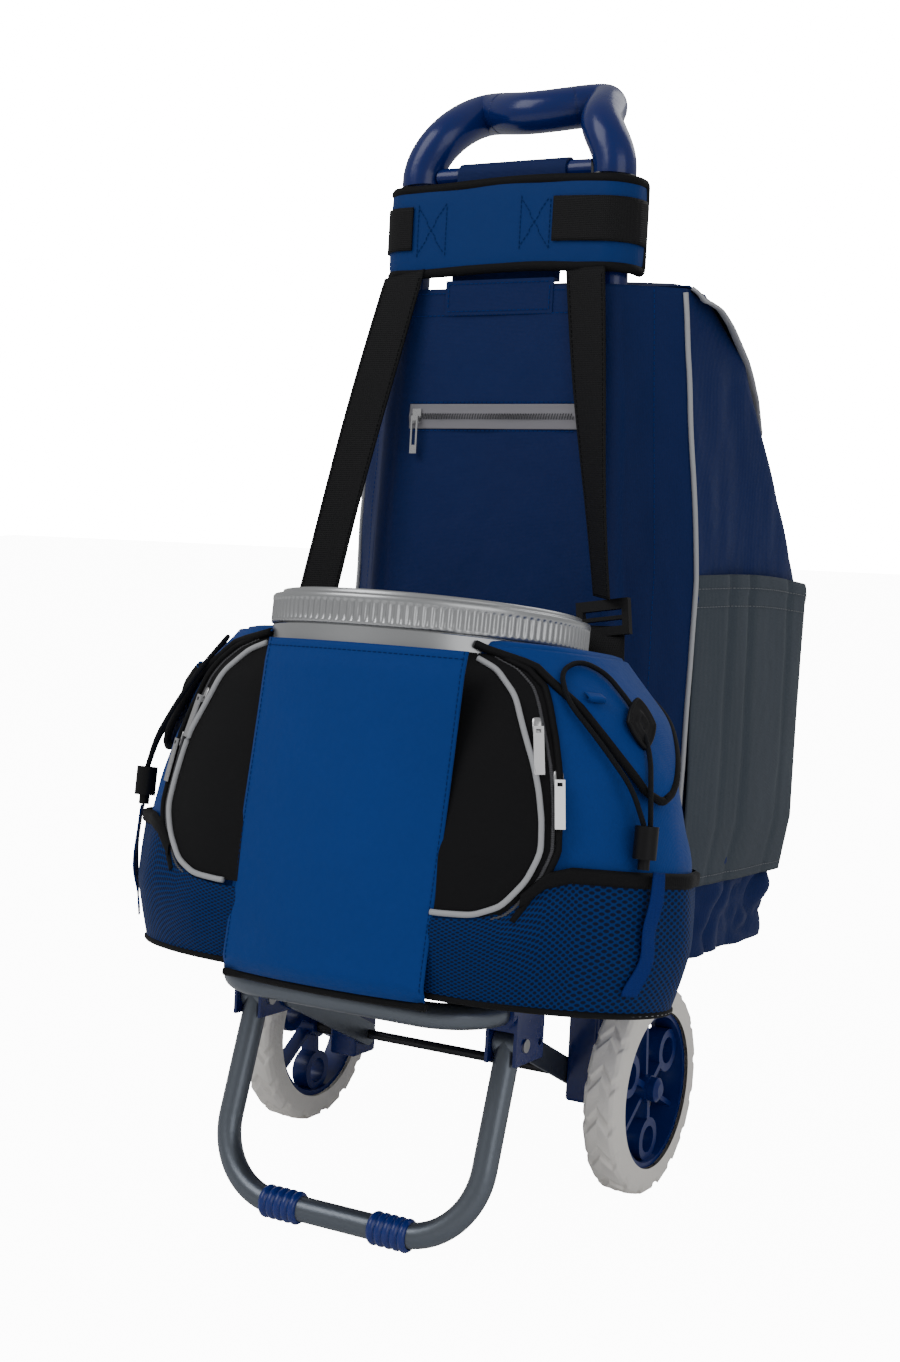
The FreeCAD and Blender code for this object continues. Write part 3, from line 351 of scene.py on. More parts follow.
rim_y = bag_outline(np.array([600.0]))[0, :, 1]
for step in range(4):
    tops = mouth_height(rim_y)
    rim_y = np.array([bag_outline(np.array([tops[k]]))[0, k, 1] for k in range(len(tops))])
tops = mouth_height(rim_y)
share = np.linspace(0, 1, 150) ** 0.92
heights = bag_foot + 2 + (tops[None, :] - bag_foot - 2) * share[:, None]
steps = np.linspace(bag_foot, bag_top, 180)
outlines = bag_outline(steps)
bag_x, bag_y = (np.stack([np.interp(heights[:, k], steps, outlines[:, k, axis])
                          for k in range(heights.shape[1])], 1) for axis in (0, 1))
tangent_x, tangent_y = (np.roll(values, -1, 1) - np.roll(values, 1, 1) for values in (bag_x, bag_y))
stretch = np.hypot(tangent_x, tangent_y) + 1e-9
out_x, out_y = tangent_y / stretch, -tangent_x / stretch
places = np.stack([bag_x, bag_y, heights], -1)
on_front = np.clip((2 - bag_y) / 12, 0, 1)
near_top = np.clip((tops[None, :] - heights) / 60, 0, 1)
soft = rumple(places, (0.012, 0.012, 0.006), 5.5) + rumple(places, (0.05, 0.05, 0.018), 1.8, 7.0)
crumple = np.abs(rumple(places, (0.03, 0.03, 0.035), 14, 3.0)) - 3
lower = np.clip((190 - heights) / 40, 0, 1)
front_waves = rumple(places, (0.018, 0.018, 0.004), 2.2, 11.0)
front_waves = front_waves + rumple(places, (0.04, 0.04, 0.02), 0.9, 5.0)
push = soft * (1 - 0.85 * on_front) * near_top + crumple * lower * (1 - 0.9 * on_front)
push += front_waves * on_front
push = np.minimum(np.clip(push, -6, 8), 0.4 + 8 * (1 - on_front))
bag_x, bag_y = bag_x + out_x * push, bag_y + out_y * push
# the cloth rides over the upright tubes where they stand close behind it
tube_x = 112 - (heights - 12) * (25 / 730)
tube_room = 15.5
for way in (-1, 1):
    gap_x, gap_y = bag_x - way * tube_x, bag_y
    gap = np.hypot(gap_x, gap_y) + 1e-9
    short = np.where((gap < tube_room) & (bag_y < 12), tube_room / gap, 1)
    bag_x, bag_y = way * tube_x + gap_x * short, gap_y * short


def tucked(grid):
    """The strap holds the bag's left top corner in."""
    x, height = grid[..., 0], grid[..., 2]
    pull = 24 * np.clip((height - 525) / 103, 0, 1) ** 1.2 * np.clip((-60 - x) / 80, 0, 1)
    pull = pull * np.clip((150 - grid[..., 1]) / 90, 0, 1)
    return np.stack([x + pull, grid[..., 1], height], -1)


bag_grid = tucked(np.stack([bag_x, bag_y, heights], -1))
middle = np.array([0, 110, bag_foot + 1.0])
base = [middle + (bag_grid[0] - middle) * part for part in (0.02, 0.5, 0.93, 0.985)]
for ring, drop in zip(base, (0, 0, 0, 0.4)):
    ring[:, 2] = bag_foot + 1 - drop
bag_grid = np.concatenate([np.stack(base), bag_grid])
bag = surface("bag_cloth", on_upright(bag_grid), bag_blue, around=True, thick=0.0012)
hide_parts("rear_bag")
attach(bag, "trolley")
coat("rear_bag_board", lining_black)


def tube(name, points, radius, material, sides=10, flat=1.0, closed=False):
    """A round cord in a smooth line through points in metres, as a mesh."""
    points = np.asarray(points, float)
    along = np.gradient(points, axis=0)
    if closed:
        along = np.roll(points, -1, 0) - np.roll(points, 1, 0)
    along /= np.linalg.norm(along, axis=1, keepdims=True) + 1e-12
    side = np.cross(along, np.array([0.31, 0.17, 0.93]))
    side /= np.linalg.norm(side, axis=1, keepdims=True)
    lift = np.cross(side, along)
    turns = full_turn(sides)
    grid = points[:, None] + radius * (np.cos(turns)[None, :, None] * side[:, None]
                                       + flat * np.sin(turns)[None, :, None] * lift[:, None])
    if closed:
        grid = np.concatenate([grid, grid[:1]])
    else:
        tips = [points[None, end].repeat(sides, 1) for end in (slice(0, 1), slice(-1, None))]
        grid = np.concatenate([tips[0], grid, tips[1]])
    return surface(name, grid, material, around=True)


def stitches(name, points, material, pitch=0.004, length=0.0026, radius=0.00035):
    """A dashed line of thread along points in metres."""
    points = np.asarray(points, float)
    run = np.concatenate([[0], np.cumsum(np.linalg.norm(np.diff(points, axis=0), axis=1))])
    starts = np.arange(0, run[-1] - length, pitch)
    verts, faces = [], []
    for start in starts:
        ends = [np.array([np.interp(place, run, points[:, k]) for k in range(3)])
                for place in (start, start + length)]
        along = (ends[1] - ends[0]) / (np.linalg.norm(ends[1] - ends[0]) + 1e-12)
        side = np.cross(along, (0.3, 0.2, 0.93))
        side /= np.linalg.norm(side)
        lift = np.cross(side, along)
        first = len(verts)
        for end in ends:
            verts += [tuple(end + radius * d) for d in (side, lift, -side, -lift)]
        faces += [(first + k, first + (k + 1) % 4, first + 4 + (k + 1) % 4, first + 4 + k)
                  for k in range(4)]
        faces += [(first + 3, first + 2, first + 1, first), (first + 4, first + 5, first + 6, first + 7)]
    mesh = bpy.data.meshes.new(name)
    mesh.from_pydata(verts, [], faces)
    mesh.materials.append(material)
    thing = bpy.data.objects.new(name, mesh)
    bpy.context.scene.collection.objects.link(thing)
    return thing


def sewn(name, points, thread):
    """A seam in blue cloth, through points in mm on the uprights' axes."""
    line = stitches(name, on_upright(points), thread)
    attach(line, "trolley")


ring = bag_grid[60]
for side, way in (("right", 1), ("left", -1)):
    corner_x, corner_y = way * level(ring[0, 2], 2), level(ring[0, 2], 3)
    column = int(np.argmin(np.hypot(ring[:, 0] - corner_x, ring[:, 1] - corner_y)))
    corner = bag_grid[5:, column] + np.array([1.2 * way, -1.6, 0])
    cord = tube("bag_piping_" + side, on_upright(corner[::3]), 0.0021, piping_grey)
    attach(cord, "trolley")
    seam = bag_grid[8:, (column - 14 * way) % bag_grid.shape[1]] + np.array([0, -0.9, 0])
    sewn("bag_seam_" + side, seam, thread_blue)
# the front panel's top edge is turned over and sewn down
for number, drop in enumerate((4, 22)):
    row = np.array([(x, bag_front - 1.2, bag_top - drop) for x in np.linspace(-92, 92, 60)])
    sewn("front_hem_%d" % number, row, thread_blue)

# ---- side pockets
# A slack pocket of grey cloth sewn on each side of the bag, open at its hemmed top and gathered with two
# pleats, so that the cloth stands away from the bag.
pocket_grey = finish("pocket_grey", (0.055, 0.069, 0.087), 0.8, shine=0.2, sheen=0.05, weave=(260, 0.0003),
                     grain=(30, 0.003), mottle=0.08)
thread_grey = finish("thread_grey", (0.17, 0.18, 0.2), 0.8)
pocket_low, pocket_high = 152, 405


def facing(way, grid):
    """A grid drawn for the right side, its columns turned round on the left so that it faces outward."""
    return grid if way > 0 else grid[:, ::-1]


for side, way in (("left", -1), ("right", 1)):
    along = np.linspace(0, 1, 90)[None, :]
    up = np.linspace(0, 1, 70)[:, None]
    heights = pocket_low + (pocket_high - pocket_low) * up + 0 * along
    front_x, front_y = level(heights, 2), level(heights, 3)
    rear_x, rear_y = level(heights, 4), level(heights, 5) - 8
    x = front_x + (rear_x - front_x) * along
    y = front_y + 1 + (rear_y - front_y) * along
    stand = 3.2 + 6.5 * np.sin(math.pi * along) ** 0.6 * (0.35 + 0.65 * up)
    pleats = 0
    for fold, depth in ((0.24, 3.2), (0.42, 3.8), (0.8, 2.6)):
        ridge = np.exp(-((along - fold - 0.03 * np.sin(3 * up)) / 0.028) ** 2)
        pleats = pleats + depth * ridge * (0.35 + 0.65 * up)
    stand = stand - pleats + rumple(np.stack([x, y, heights], -1), (0.02, 0.02, 0.012), 2.2, 5.0 + way)
    hem = np.clip((up - 0.93) / 0.02, 0, 1)
    stand = np.maximum(stand + hem, 2.0)
    grid = np.stack([way * (x + stand), y - 0.12 * stand, heights + 4 * np.sin(math.pi * along) * up], -1)
    grid = facing(way, grid)
    pocket = surface("pocket_cloth_" + side, on_upright(grid), pocket_grey, thick=0.0014)
    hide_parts("side_pocket_" + side)
    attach(pocket, "trolley")
    for number, row in enumerate((62, 66, 2)):
        shift = np.array([way * 1.1, 0, 0])
        line = stitches("pocket_hem_%s_%d" % (side, number), on_upright(grid[row] + shift), thread_grey)
        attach(line, "trolley")

# ---- cover
# The bag's flap: blue outside, black inside and bound in grey. It is sewn to the bag behind the uprights,
# lies over the sloping mouth, and hangs a little way down the back and over the sides.


def smoothed(line, times):
    """A line with each inner point drawn towards its neighbours, times over."""
    for step in range(times):
        line[1:-1] = (line[:-2] + 2 * line[1:-1] + line[2:]) / 4
    return line


path = smoothed(drawn([(21, 631), (34, 633.5), (52, 631), (90, 605),
                       (128, 579), (153, 563), (174, 534), (191, 505)], 80), 6)
part = np.linspace(0, 1, 80)
half_width = np.interp(part, (0, 0.05, 0.15, 0.35, 0.5, 0.65, 0.85, 0.95, 1),
                       (148, 155, 160, 166, 165, 160, 156, 148, 132))
cross = np.linspace(-1, 1, 90)
droop = np.clip((np.abs(cross) - 0.82) / 0.18, 0, 1) ** 1.6
droop = np.interp(part, (0, 0.1, 0.3, 0.6, 1), (0, 12, 14, 5, 0))[:, None] * droop[None, :]
lift = 5 * (1 - cross ** 2)
cover_x = half_width[:, None] * cross[None, :]
cover_y = path[:, :1] + 0 * cross[None, :]
cover_z = path[:, 1:] + lift[None, :] * np.clip(part * 9, 0, 1)[:, None] - droop
cover_grid = np.stack([cover_x, cover_y, cover_z], -1)
cover_grid[..., 2] += rumple(cover_grid, (0.012, 0.012, 0.012), 3.0, 2.0) * np.clip(part * 6, 0, 1)[:, None]
cover_grid = tucked(cover_grid)
cover = surface("cover_cloth", on_upright(cover_grid), bag_blue, thick=0.001)
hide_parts("bag_cover")
under = cover_grid - np.array([0, 0.5, 1.5])
lining = surface("cover_lining", on_upright(under[:, 1:-1]), lining_black)
edge = np.concatenate([cover_grid[::2, 0], cover_grid[-1, 1:-1:2], cover_grid[::-2, -1]])
binding = tube("cover_binding", on_upright(edge - np.array([0, 0, 0.4])), 0.0042, piping_grey, flat=0.4)
for thing in (cover, lining, binding):
    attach(thing, "bag_cover")

# ---- zipped pocket and hanging loop
# A short zip in the front panel closes a flat pocket: grey tape, a dull metal coil, a slider and a wire
# pull. Above it a blue strap goes over the crossbar and is pressed down on the panel with touch tape.
tape_grey = finish("tape_grey", (0.25, 0.245, 0.27), 0.75, shine=0.2, weave=(500, 0.0002))
coil_grey = finish("coil_grey", (0.10, 0.10, 0.11), 0.45, metal=0.3)
zip_metal = finish("zip_metal", (0.62, 0.62, 0.63), 0.25, metal=1.0)
zip_half, zip_high = 77, 524
x = np.linspace(-zip_half, zip_half, 120)[None, :]
rows = np.linspace(-10, 10, 26)[:, None]
fold = 0.9 * np.exp(-(rows / 3.2) ** 2)
grid = np.stack([x + 0 * rows, bag_front - 1.6 - fold + 0.25 * np.sin(x * 0.08),
                 zip_high + rows + 0 * x], -1)
tape = surface("pocket_zip_tape", on_upright(grid), tape_grey, thick=0.0008)
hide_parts("pocket_zip")
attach(tape, "trolley")
zip_teeth = 62
turns = np.linspace(0, zip_teeth * 2 * math.pi, zip_teeth * 8)
coil = np.stack([np.linspace(-zip_half + 3, zip_half - 3, len(turns)),
                 bag_front - 2.9 - 0.7 * np.cos(turns), zip_high + 2.1 * np.sin(turns)], -1)
teeth = tube("pocket_zip_coil", on_upright(coil), 0.00055, coil_grey, sides=5)
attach(teeth, "trolley")
for node in ("pocket_zip_slider", "pocket_zip_pull"):
    coat(node, zip_metal)
for number, drop in enumerate((-11.5, 11.5)):
    row = np.array([(x, bag_front - 1.3, zip_high + drop) for x in np.linspace(-zip_half, zip_half, 40)])
    sewn("pocket_zip_seam_%d" % number, row, thread_blue)
coat("hanging_loop", bag_blue)
loop_corners = ((-46, 631), (-46, 609), (46, 609), (46, 631))
for number, (first, last) in enumerate(((0, 1), (1, 2), (2, 3), (0, 3))):
    (from_x, from_z), (to_x, to_z) = loop_corners[first], loop_corners[last]
    row = np.array([(from_x + (to_x - from_x) * share, bag_front - 2.2, from_z + (to_z - from_z) * share)
                    for share in np.linspace(0, 1, 20)])
    sewn("loop_seam_%d" % number, row, thread_blue)

# ---- cooler tub and lid
# A drum of silver plastic with a thin rubber gasket and a screw lid. The lid's skirt is ribbed for grip and
# its top carries a raised ring; it turns on the gasket and then lifts off.
drum_silver = finish("drum_silver", (0.47, 0.48, 0.49), 0.32, metal=0.85, coat=0.2)
gasket_black = finish("gasket_black", (0.01, 0.01, 0.01), 0.6)
coat("tub", drum_silver)
coat("lid_gasket", gasket_black)
coat("tub_wrap", lining_black)
# radius, height and share of the ribs, from under the skirt to the middle of the top
lid_section = np.array([
    (112.5, 247, 0), (116.6, 246.6, 0), (117.9, 247.2, 0), (118.1, 249, 0.2), (118.1, 250, 1),
    (118.1, 254, 1), (118.1, 258, 1), (118.1, 262, 1), (118.1, 263, 0.6), (118.4, 263.8, 0),
    (118.6, 265, 0), (118.5, 267, 0), (117.6, 268.2, 0), (114, 268.5, 0), (112.2, 268.6, 0),
    (111.9, 270, 0), (111.4, 271.8, 0), (109.6, 272.2, 0), (107.8, 271.8, 0), (107.2, 270, 0),
    (106.8, 266, 0), (104, 265, 0), (80, 265.4, 0), (40, 266, 0), (0.5, 266.2, 0)])
grip_ribs = 124
turns = full_turn(grip_ribs * 8)[None, :]
ribbed = np.clip(1.6 * np.sin(turns * grip_ribs), -1, 1)
radius = lid_section[:, :1] + lid_section[:, 2:] * (0.55 * ribbed - 0.35)
grid = np.stack([radius * np.cos(turns), radius * np.sin(turns), lid_section[:, 1:2] + 0 * turns], -1)
lid = surface("lid_shell", on_cooler(grid), drum_silver, around=True)
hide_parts("tub_lid")
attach(lid, "tub_lid")

# ---- cooler bag, front panel
# The drum sits in a cloth cover whose front is one plain panel of bright blue cloth, sewn to the side
# compartments and turned under at the foot with a black binding.
cooler_blue = finish("cooler_blue", (0.001, 0.042, 0.235), 0.6, shine=0.2, sheen=0.03, weave=(420, 0.0002),
                     grain=(30, 0.003), mottle=0.10)
binding_black = finish("binding_black", (0.004, 0.004, 0.005), 0.7, shine=0.2, weave=(500, 0.0002))
thread_dark = finish("thread_dark", (0.001, 0.02, 0.12), 0.8, shine=0.2)
across = np.linspace(0, 1, 70)[None, :]
up = np.linspace(-0.03, 1, 90)[:, None]
left_edge, right_edge = -81 + 12 * up, 85 + 8 * up
x = left_edge + (right_edge - left_edge) * across
height = 234 * np.clip(up, 0, 1) - 3 * (up < 0)
middle_x = (left_edge + right_edge) / 2
bow = -119.5 + 11.5 * np.abs((x - middle_x) / (right_edge - middle_x)) ** 2.2
inward = 10 * np.clip((0.03 - up) / 0.06, 0, 1) ** 1.5 + 1.8 * np.clip((up - 0.93) / 0.07, 0, 1)
y = bow + inward
y = y + rumple(np.stack([x, y, height + 0 * x], -1), (0.011, 0.011, 0.008), 2.0, 9.0)
panel_grid = np.stack([x, np.minimum(y, -104.5), height + 0 * x], -1)
panel = surface("front_panel_cloth", on_cooler(panel_grid), cooler_blue, thick=0.0014)
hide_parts("cooler_front_panel")
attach(panel, "trolley")
for name, line in (("left", panel_grid[4:, 1]), ("right", panel_grid[4:, -2]), ("top", panel_grid[-3])):
    seam = stitches("front_panel_seam_" + name, on_cooler(line + np.array([0, -0.9, 0])), thread_dark)
    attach(seam, "trolley")
foot_line = panel_grid[1] + np.array([0, 1.5, -3.0])
foot = tube("front_panel_binding", on_cooler(foot_line), 0.0032, binding_black)
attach(foot, "trolley")

# ---- side compartments
# Two soft lobes swell out beside the drum. Each has a black front panel edged with pale grey piping, a
# black zip that runs round it, a blue outer wall, and a mesh pocket under a black binding.
# height, then how much narrower and shallower a lobe is there
lobe_levels = np.array([(0, -10, -10), (45, -1, 0), (100, 0, 0), (160, -13, -5), (205, -34, -14),
                        (246, -72, -34)])
lobe_centre, lobe_wide, lobe_deep, lobe_top = 75, 144, 108, 244
fine_height = np.linspace(-30, 276, 613)
kernel = np.hanning(45) / np.hanning(45).sum()
eased = [np.convolve(np.interp(fine_height, lobe_levels[:, 0], lobe_levels[:, column]), kernel, "same")
         for column in (1, 2)]
clear_of_drum = 115.4


def on_lobe(way, turn, height, grow=0.0):
    """A point on a side compartment; turn is in degrees, -90 at the front, 0 at the side."""
    turn, height, grow = np.broadcast_arrays(*(np.asarray(value, float) for value in (turn, height, grow)))
    wide = lobe_wide + np.interp(height, fine_height, eased[0]) + grow
    deep = lobe_deep + np.interp(height, fine_height, eased[1]) + grow
    x = lobe_centre + wide * np.cos(np.radians(turn))
    y = deep * np.sin(np.radians(turn))
    reach = np.hypot(x, y)
    out = np.where(reach < clear_of_drum + grow, (clear_of_drum + grow) / reach, 1)
    return np.stack([way * x * out, y * out, height], -1)


def lobe_patch(name, way, low_turn, high_turn, heights, grow, material, columns, thick=0.0):
    """A patch of a compartment between two turns at each height."""
    share = np.linspace(0, 1, columns)[None, :]
    turn = np.reshape(low_turn, (-1, 1)) * (1 - share) + np.reshape(high_turn, (-1, 1)) * share
    grid = facing(way, on_lobe(way, turn, np.reshape(heights, (-1, 1)) + 0 * share, grow))
    return surface(name, on_cooler(grid), material, thick=thick), grid


# the mesh: round holes in blue net, on a square grid turned by 45 degrees; the holes are painted near black
# as painted shade of the pocket's inside seen through them
mesh_cloth = finish("mesh_cloth", (0.0006, 0.015, 0.11), 0.65, shine=0.15)
mesh_nodes, mesh_links = mesh_cloth.node_tree.nodes, mesh_cloth.node_tree.links
mesh_shader = mesh_nodes["Principled BSDF"]
mesh_place = mesh_nodes.new("ShaderNodeUVMap")
mesh_dots = settle(mesh_nodes.new("ShaderNodeTexVoronoi"), {"Randomness": 0, "Scale": 1})
mesh_dots.feature = "F1"
mesh_turn = settle(mesh_nodes.new("ShaderNodeMapping"), {
    "Rotation": (0, 0, math.radians(45)), "Scale": (96, 30, 1)})
mesh_links.new(mesh_place.outputs["UV"], mesh_turn.inputs["Vector"])
mesh_links.new(mesh_turn.outputs["Vector"], mesh_dots.inputs["Vector"])
mesh_ramp = mesh_nodes.new("ShaderNodeValToRGB")
# the hole colour is painted shade, the dark inside of the pocket seen through the net; the thread colour is
# the net's own
shaded_hole, thread = mesh_ramp.color_ramp.elements
shaded_hole.position, thread.position = 0.30, 0.44
shaded_hole.color, thread.color = (0.0006, 0.005, 0.030, 1), (0.001, 0.028, 0.15, 1)
mesh_links.new(mesh_dots.outputs["Distance"], mesh_ramp.inputs["Fac"])
mesh_links.new(mesh_ramp.outputs["Color"], mesh_shader.inputs["Base Color"])
mesh_bump = settle(mesh_nodes.new("ShaderNodeBump"), {"Distance": 0.0008})
mesh_links.new(mesh_dots.outputs["Distance"], mesh_bump.inputs["Height"])
mesh_links.new(mesh_bump.outputs["Normal"], mesh_shader.inputs["Normal"])

# turn and height of the piping, and of the mesh pocket's top edge
piping_line = smoothed(drawn([(-92, 59), (-84, 58.5), (-74, 60), (-66.5, 68), (-60.5, 86), (-57, 107),
                              (-57, 127), (-58, 146), (-60, 166), (-62.5, 185), (-65.5, 209), (-72.5, 225),
                              (-84, 233), (-96, 236)], 120), 5)
piping_turn, piping_height = piping_line.T
piping_run = piping_line[(piping_turn > -86.5) & ((piping_height < 150) | (piping_turn > -82))]
mesh_edge = np.array([(-97, 55), (-84, 55), (-74, 57), (-66, 64), (-60, 76), (-55, 88), (-48, 93),
                      (97, 95)])
mesh_pockets = {}
for side, way in (("left", -1), ("right", 1)):
    # blue body of the compartment, closed in towards the drum at foot and head
    turn = np.linspace(-128, 128, 190)[None, :]
    heights = np.linspace(0, lobe_top, 120)[:, None]
    body_grid = on_lobe(way, turn, heights + 0 * turn)
    dents = rumple(body_grid, (0.013, 0.013, 0.013), 5.0, 4.0 + way)
    dents = dents + rumple(body_grid, (0.04, 0.04, 0.04), 1.3)
    body_grid = on_lobe(way, turn, heights, np.clip(dents, -4, 2) - 1.2)
    core = np.array([way * 70, 0, 0])
    core_top = np.array([way * 70, 0, lobe_top])
    head = [body_grid[-1] * (1 - share) + core_top * share for share in (0.06, 0.2, 0.6, 0.97)]
    foot = [body_grid[0] * (1 - share) + core * share for share in (0.97, 0.5, 0.15, 0.04)]
    for ring, rise in zip(head, (1.2, 2.0, 2.0, 2.0)):
        ring[:, 2] = lobe_top + rise
        reach = np.hypot(ring[:, 0], ring[:, 1])
        ring[:, :2] *= np.maximum(1, clear_of_drum / np.maximum(reach, 1e-6))[:, None]
    for ring, rise in zip(foot, (1.5, 0.5, 0, -0.5)):
        ring[:, 2] = rise
    full = facing(way, np.concatenate([np.stack(foot), body_grid, np.stack(head)]))
    body = surface("compartment_cloth_" + side, on_cooler(full), cooler_blue)
    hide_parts("compartment_" + side)
    # black front panel inside the piping
    heights = np.linspace(59, 235, 100)
    edge_turn = np.array([piping_turn[8 + np.argmin(np.abs(piping_height[8:110] - height))]
                          for height in heights])
    edge_turn[1:-1] = (edge_turn[:-2] + edge_turn[1:-1] + edge_turn[2:]) / 3
    front, _ = lobe_patch("compartment_front_" + side, way, -100 + 0 * heights, edge_turn, heights, 1.6,
                          binding_black, 50)
    # zip tape outside the piping, its coil and the welt on its outer edge
    zip_turn = np.interp(heights, (59, 75, 87, 108, 140, 180, 216, 227, 235),
                         (-63, -59, -55.5, -52, -51.5, -52, -53.5, -59, -72))
    tape, _ = lobe_patch("compartment_zip_" + side, way, edge_turn + 0.5, zip_turn, heights, 1.2,
                         binding_black, 16)
    mid_turn = (edge_turn + 2 * zip_turn) / 3
    wiggle = np.linspace(0, 1, 900)
    coil_turn, coil_height = (np.interp(wiggle, np.linspace(0, 1, 100), line)
                              for line in (mid_turn, heights))
    coil = on_lobe(way, coil_turn + 0.5 * np.sin(wiggle * 900), coil_height,
                   1.3 + 0.4 * np.cos(wiggle * 900))
    coil = tube("compartment_zip_coil_" + side, on_cooler(coil), 0.0006, coil_grey, sides=5)
    piping = tube("compartment_piping_" + side,
                  on_cooler(on_lobe(way, piping_run[:, 0], piping_run[:, 1], 2.6)), 0.0021, piping_grey)
    welt = tube("compartment_welt_" + side,
                on_cooler(on_lobe(way, zip_turn, heights, 1.8)), 0.0024, binding_black)
    # mesh pocket, its binding and its flecked foot
    mesh_turns = np.concatenate([np.linspace(-100, -46, 60), np.linspace(-45, 104, 100)])
    top = np.interp(mesh_turns, mesh_edge[:, 0], mesh_edge[:, 1])
    rows = np.linspace(0, 1, 50)[:, None]
    swell = np.sin(math.pi * np.clip(rows * 0.9 + 0.1, 0, 1))
    stand = 2.2 + 3.4 * swell * np.clip((mesh_turns + 100) / 25, 0, 1)
    stand = stand + 1.2 * np.sin(np.radians(mesh_turns) * 14 + 2 * rows) * rows
    mesh_grid = facing(way, on_lobe(way, mesh_turns[None, :], 1 + (top[None, :] - 1) * rows, stand))
    mesh = surface("mesh_cloth_" + side, on_cooler(mesh_grid), mesh_cloth)
    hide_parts("mesh_pocket_" + side)
    mesh_pockets[side] = mesh
    bound = mesh_turns > -62
    band_high = top[bound][None, :] + np.linspace(-5.5, 5.5, 8)[:, None]
    band_stand = (np.interp(np.linspace(0, 1, 8), (0, 0.15, 0.85, 1), (2.5, 5.2, 5.2, 2.0))[:, None]
                  + 1.2 * np.sin(np.radians(mesh_turns[bound]) * 14 + 2)[None, :])
    band_grid = facing(way, on_lobe(way, mesh_turns[bound][None, :], band_high, band_stand))
    band = surface("mesh_binding_" + side, on_cooler(band_grid), binding_black)
    low = on_lobe(way, mesh_turns, 1.5, 2.6)
    foot_cord = tube("mesh_foot_" + side, on_cooler(low), 0.0024, binding_black)
    flecks = stitches("mesh_flecks_" + side, on_cooler(low * np.array([1.01, 1.01, 1])), piping_grey,
                      pitch=0.0065, length=0.0022)
    for thing in (body, front, tape, coil, piping, welt, mesh, band, foot_cord, flecks):
        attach(thing, "trolley")

# ---- flaps and badges
# A pointed flap of blue cloth, bound in black, closes down over each compartment. A plain rubber lozenge
# with a raised rim and boss is sewn on it.
rubber_black = finish("rubber_black", (0.004, 0.004, 0.005), 0.5, shine=0.25)
flap_steps = (0, 0.12, 0.4, 0.6, 0.8, 0.93, 1)
badge_half_wide, badge_half_tall, badge_bulge = 13.5, 18.5, 1.35
badge_profile = ((1.0, -2.2), (1.02, -0.6), (0.99, 0.9), (0.93, 1.3), (0.87, 0.9), (0.84, 0.2), (0.55, 0.2),
                 (0.5, 0.5), (0.42, 1.2), (0.3, 1.3), (0.24, 0.6), (0.02, 0.6))
for side, way in (("left", -1), ("right", 1)):
    rows = np.linspace(0, 1, 60)
    flap_height = np.interp(rows, flap_steps, (241, 230, 205, 187, 165, 152, 147))
    flap_left = np.interp(rows, flap_steps, (-86, -56, -42, -35, -27, -22, -16))
    flap_right = np.interp(rows, flap_steps, (64, 44, 24, 11, -2, -9, -14))
    flap, flap_grid = lobe_patch("flap_cloth_" + side, way, flap_left, flap_right, flap_height,
                                 2.6 + 2.4 * rows[:, None] ** 2, cooler_blue, 60, thick=0.0014)
    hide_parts("compartment_flap_" + side)
    rim = np.concatenate([flap_grid[:, 0], flap_grid[-1, 1:-1], flap_grid[::-1, -1]])
    flap_binding = tube("flap_binding_" + side, on_cooler(rim[::2]), 0.0030, binding_black)
    for thing in (flap, flap_binding):
        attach(thing, "trolley")
    # the badge faces out from the lobe, turned a little up and to the front
    seat = on_lobe(way, -18, 198, 9.0)
    outward = on_lobe(way, -17, 198, 18.0) - seat
    outward = outward / np.linalg.norm(outward) + np.array([0, -0.25, 0.38])
    outward /= np.linalg.norm(outward)
    sideways = np.cross(outward, (0, 0, 1))
    sideways /= np.linalg.norm(sideways)
    upward = np.cross(sideways, outward)
    turns = full_turn(120)
    spread = np.abs(np.cos(turns)) ** badge_bulge + np.abs(np.sin(turns)) ** badge_bulge
    corner = 1 / spread ** (1 / badge_bulge)
    rings = np.stack([seat + (badge_half_wide * size * corner * np.cos(turns))[:, None] * sideways
                      + (badge_half_tall * size * corner * np.sin(turns))[:, None] * upward + lift * outward
                      for size, lift in badge_profile])
    badge = surface("badge_" + side, on_cooler(facing(way, rings)), rubber_black, around=True)
    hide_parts("badges")
    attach(badge, "trolley")

# ---- zip sliders, cords and tails
# Each compartment zip has two metal sliders with long pulls. An elastic cord runs from a blue tab over the
# flap to a black lock with a spring button, and a blue webbing tail hangs below the lock.
cord_black = finish("cord_black", (0.005, 0.006, 0.009), 0.65, shine=0.2, weave=(700, 0.0004), mottle=0.5)
tail_blue = finish("tail_blue", (0.001, 0.020, 0.16), 0.65, shine=0.2, weave=(190, 0.0004))
slider_profile = ((0.9, -1.2), (1, 0), (0.95, 0.5), (0.5, 0.7), (0.35, 0.8), (0.02, 0.8))


def squared(values, power):
    """A sine or cosine swelled towards a rounded square."""
    return np.sign(values) * np.abs(values) ** power


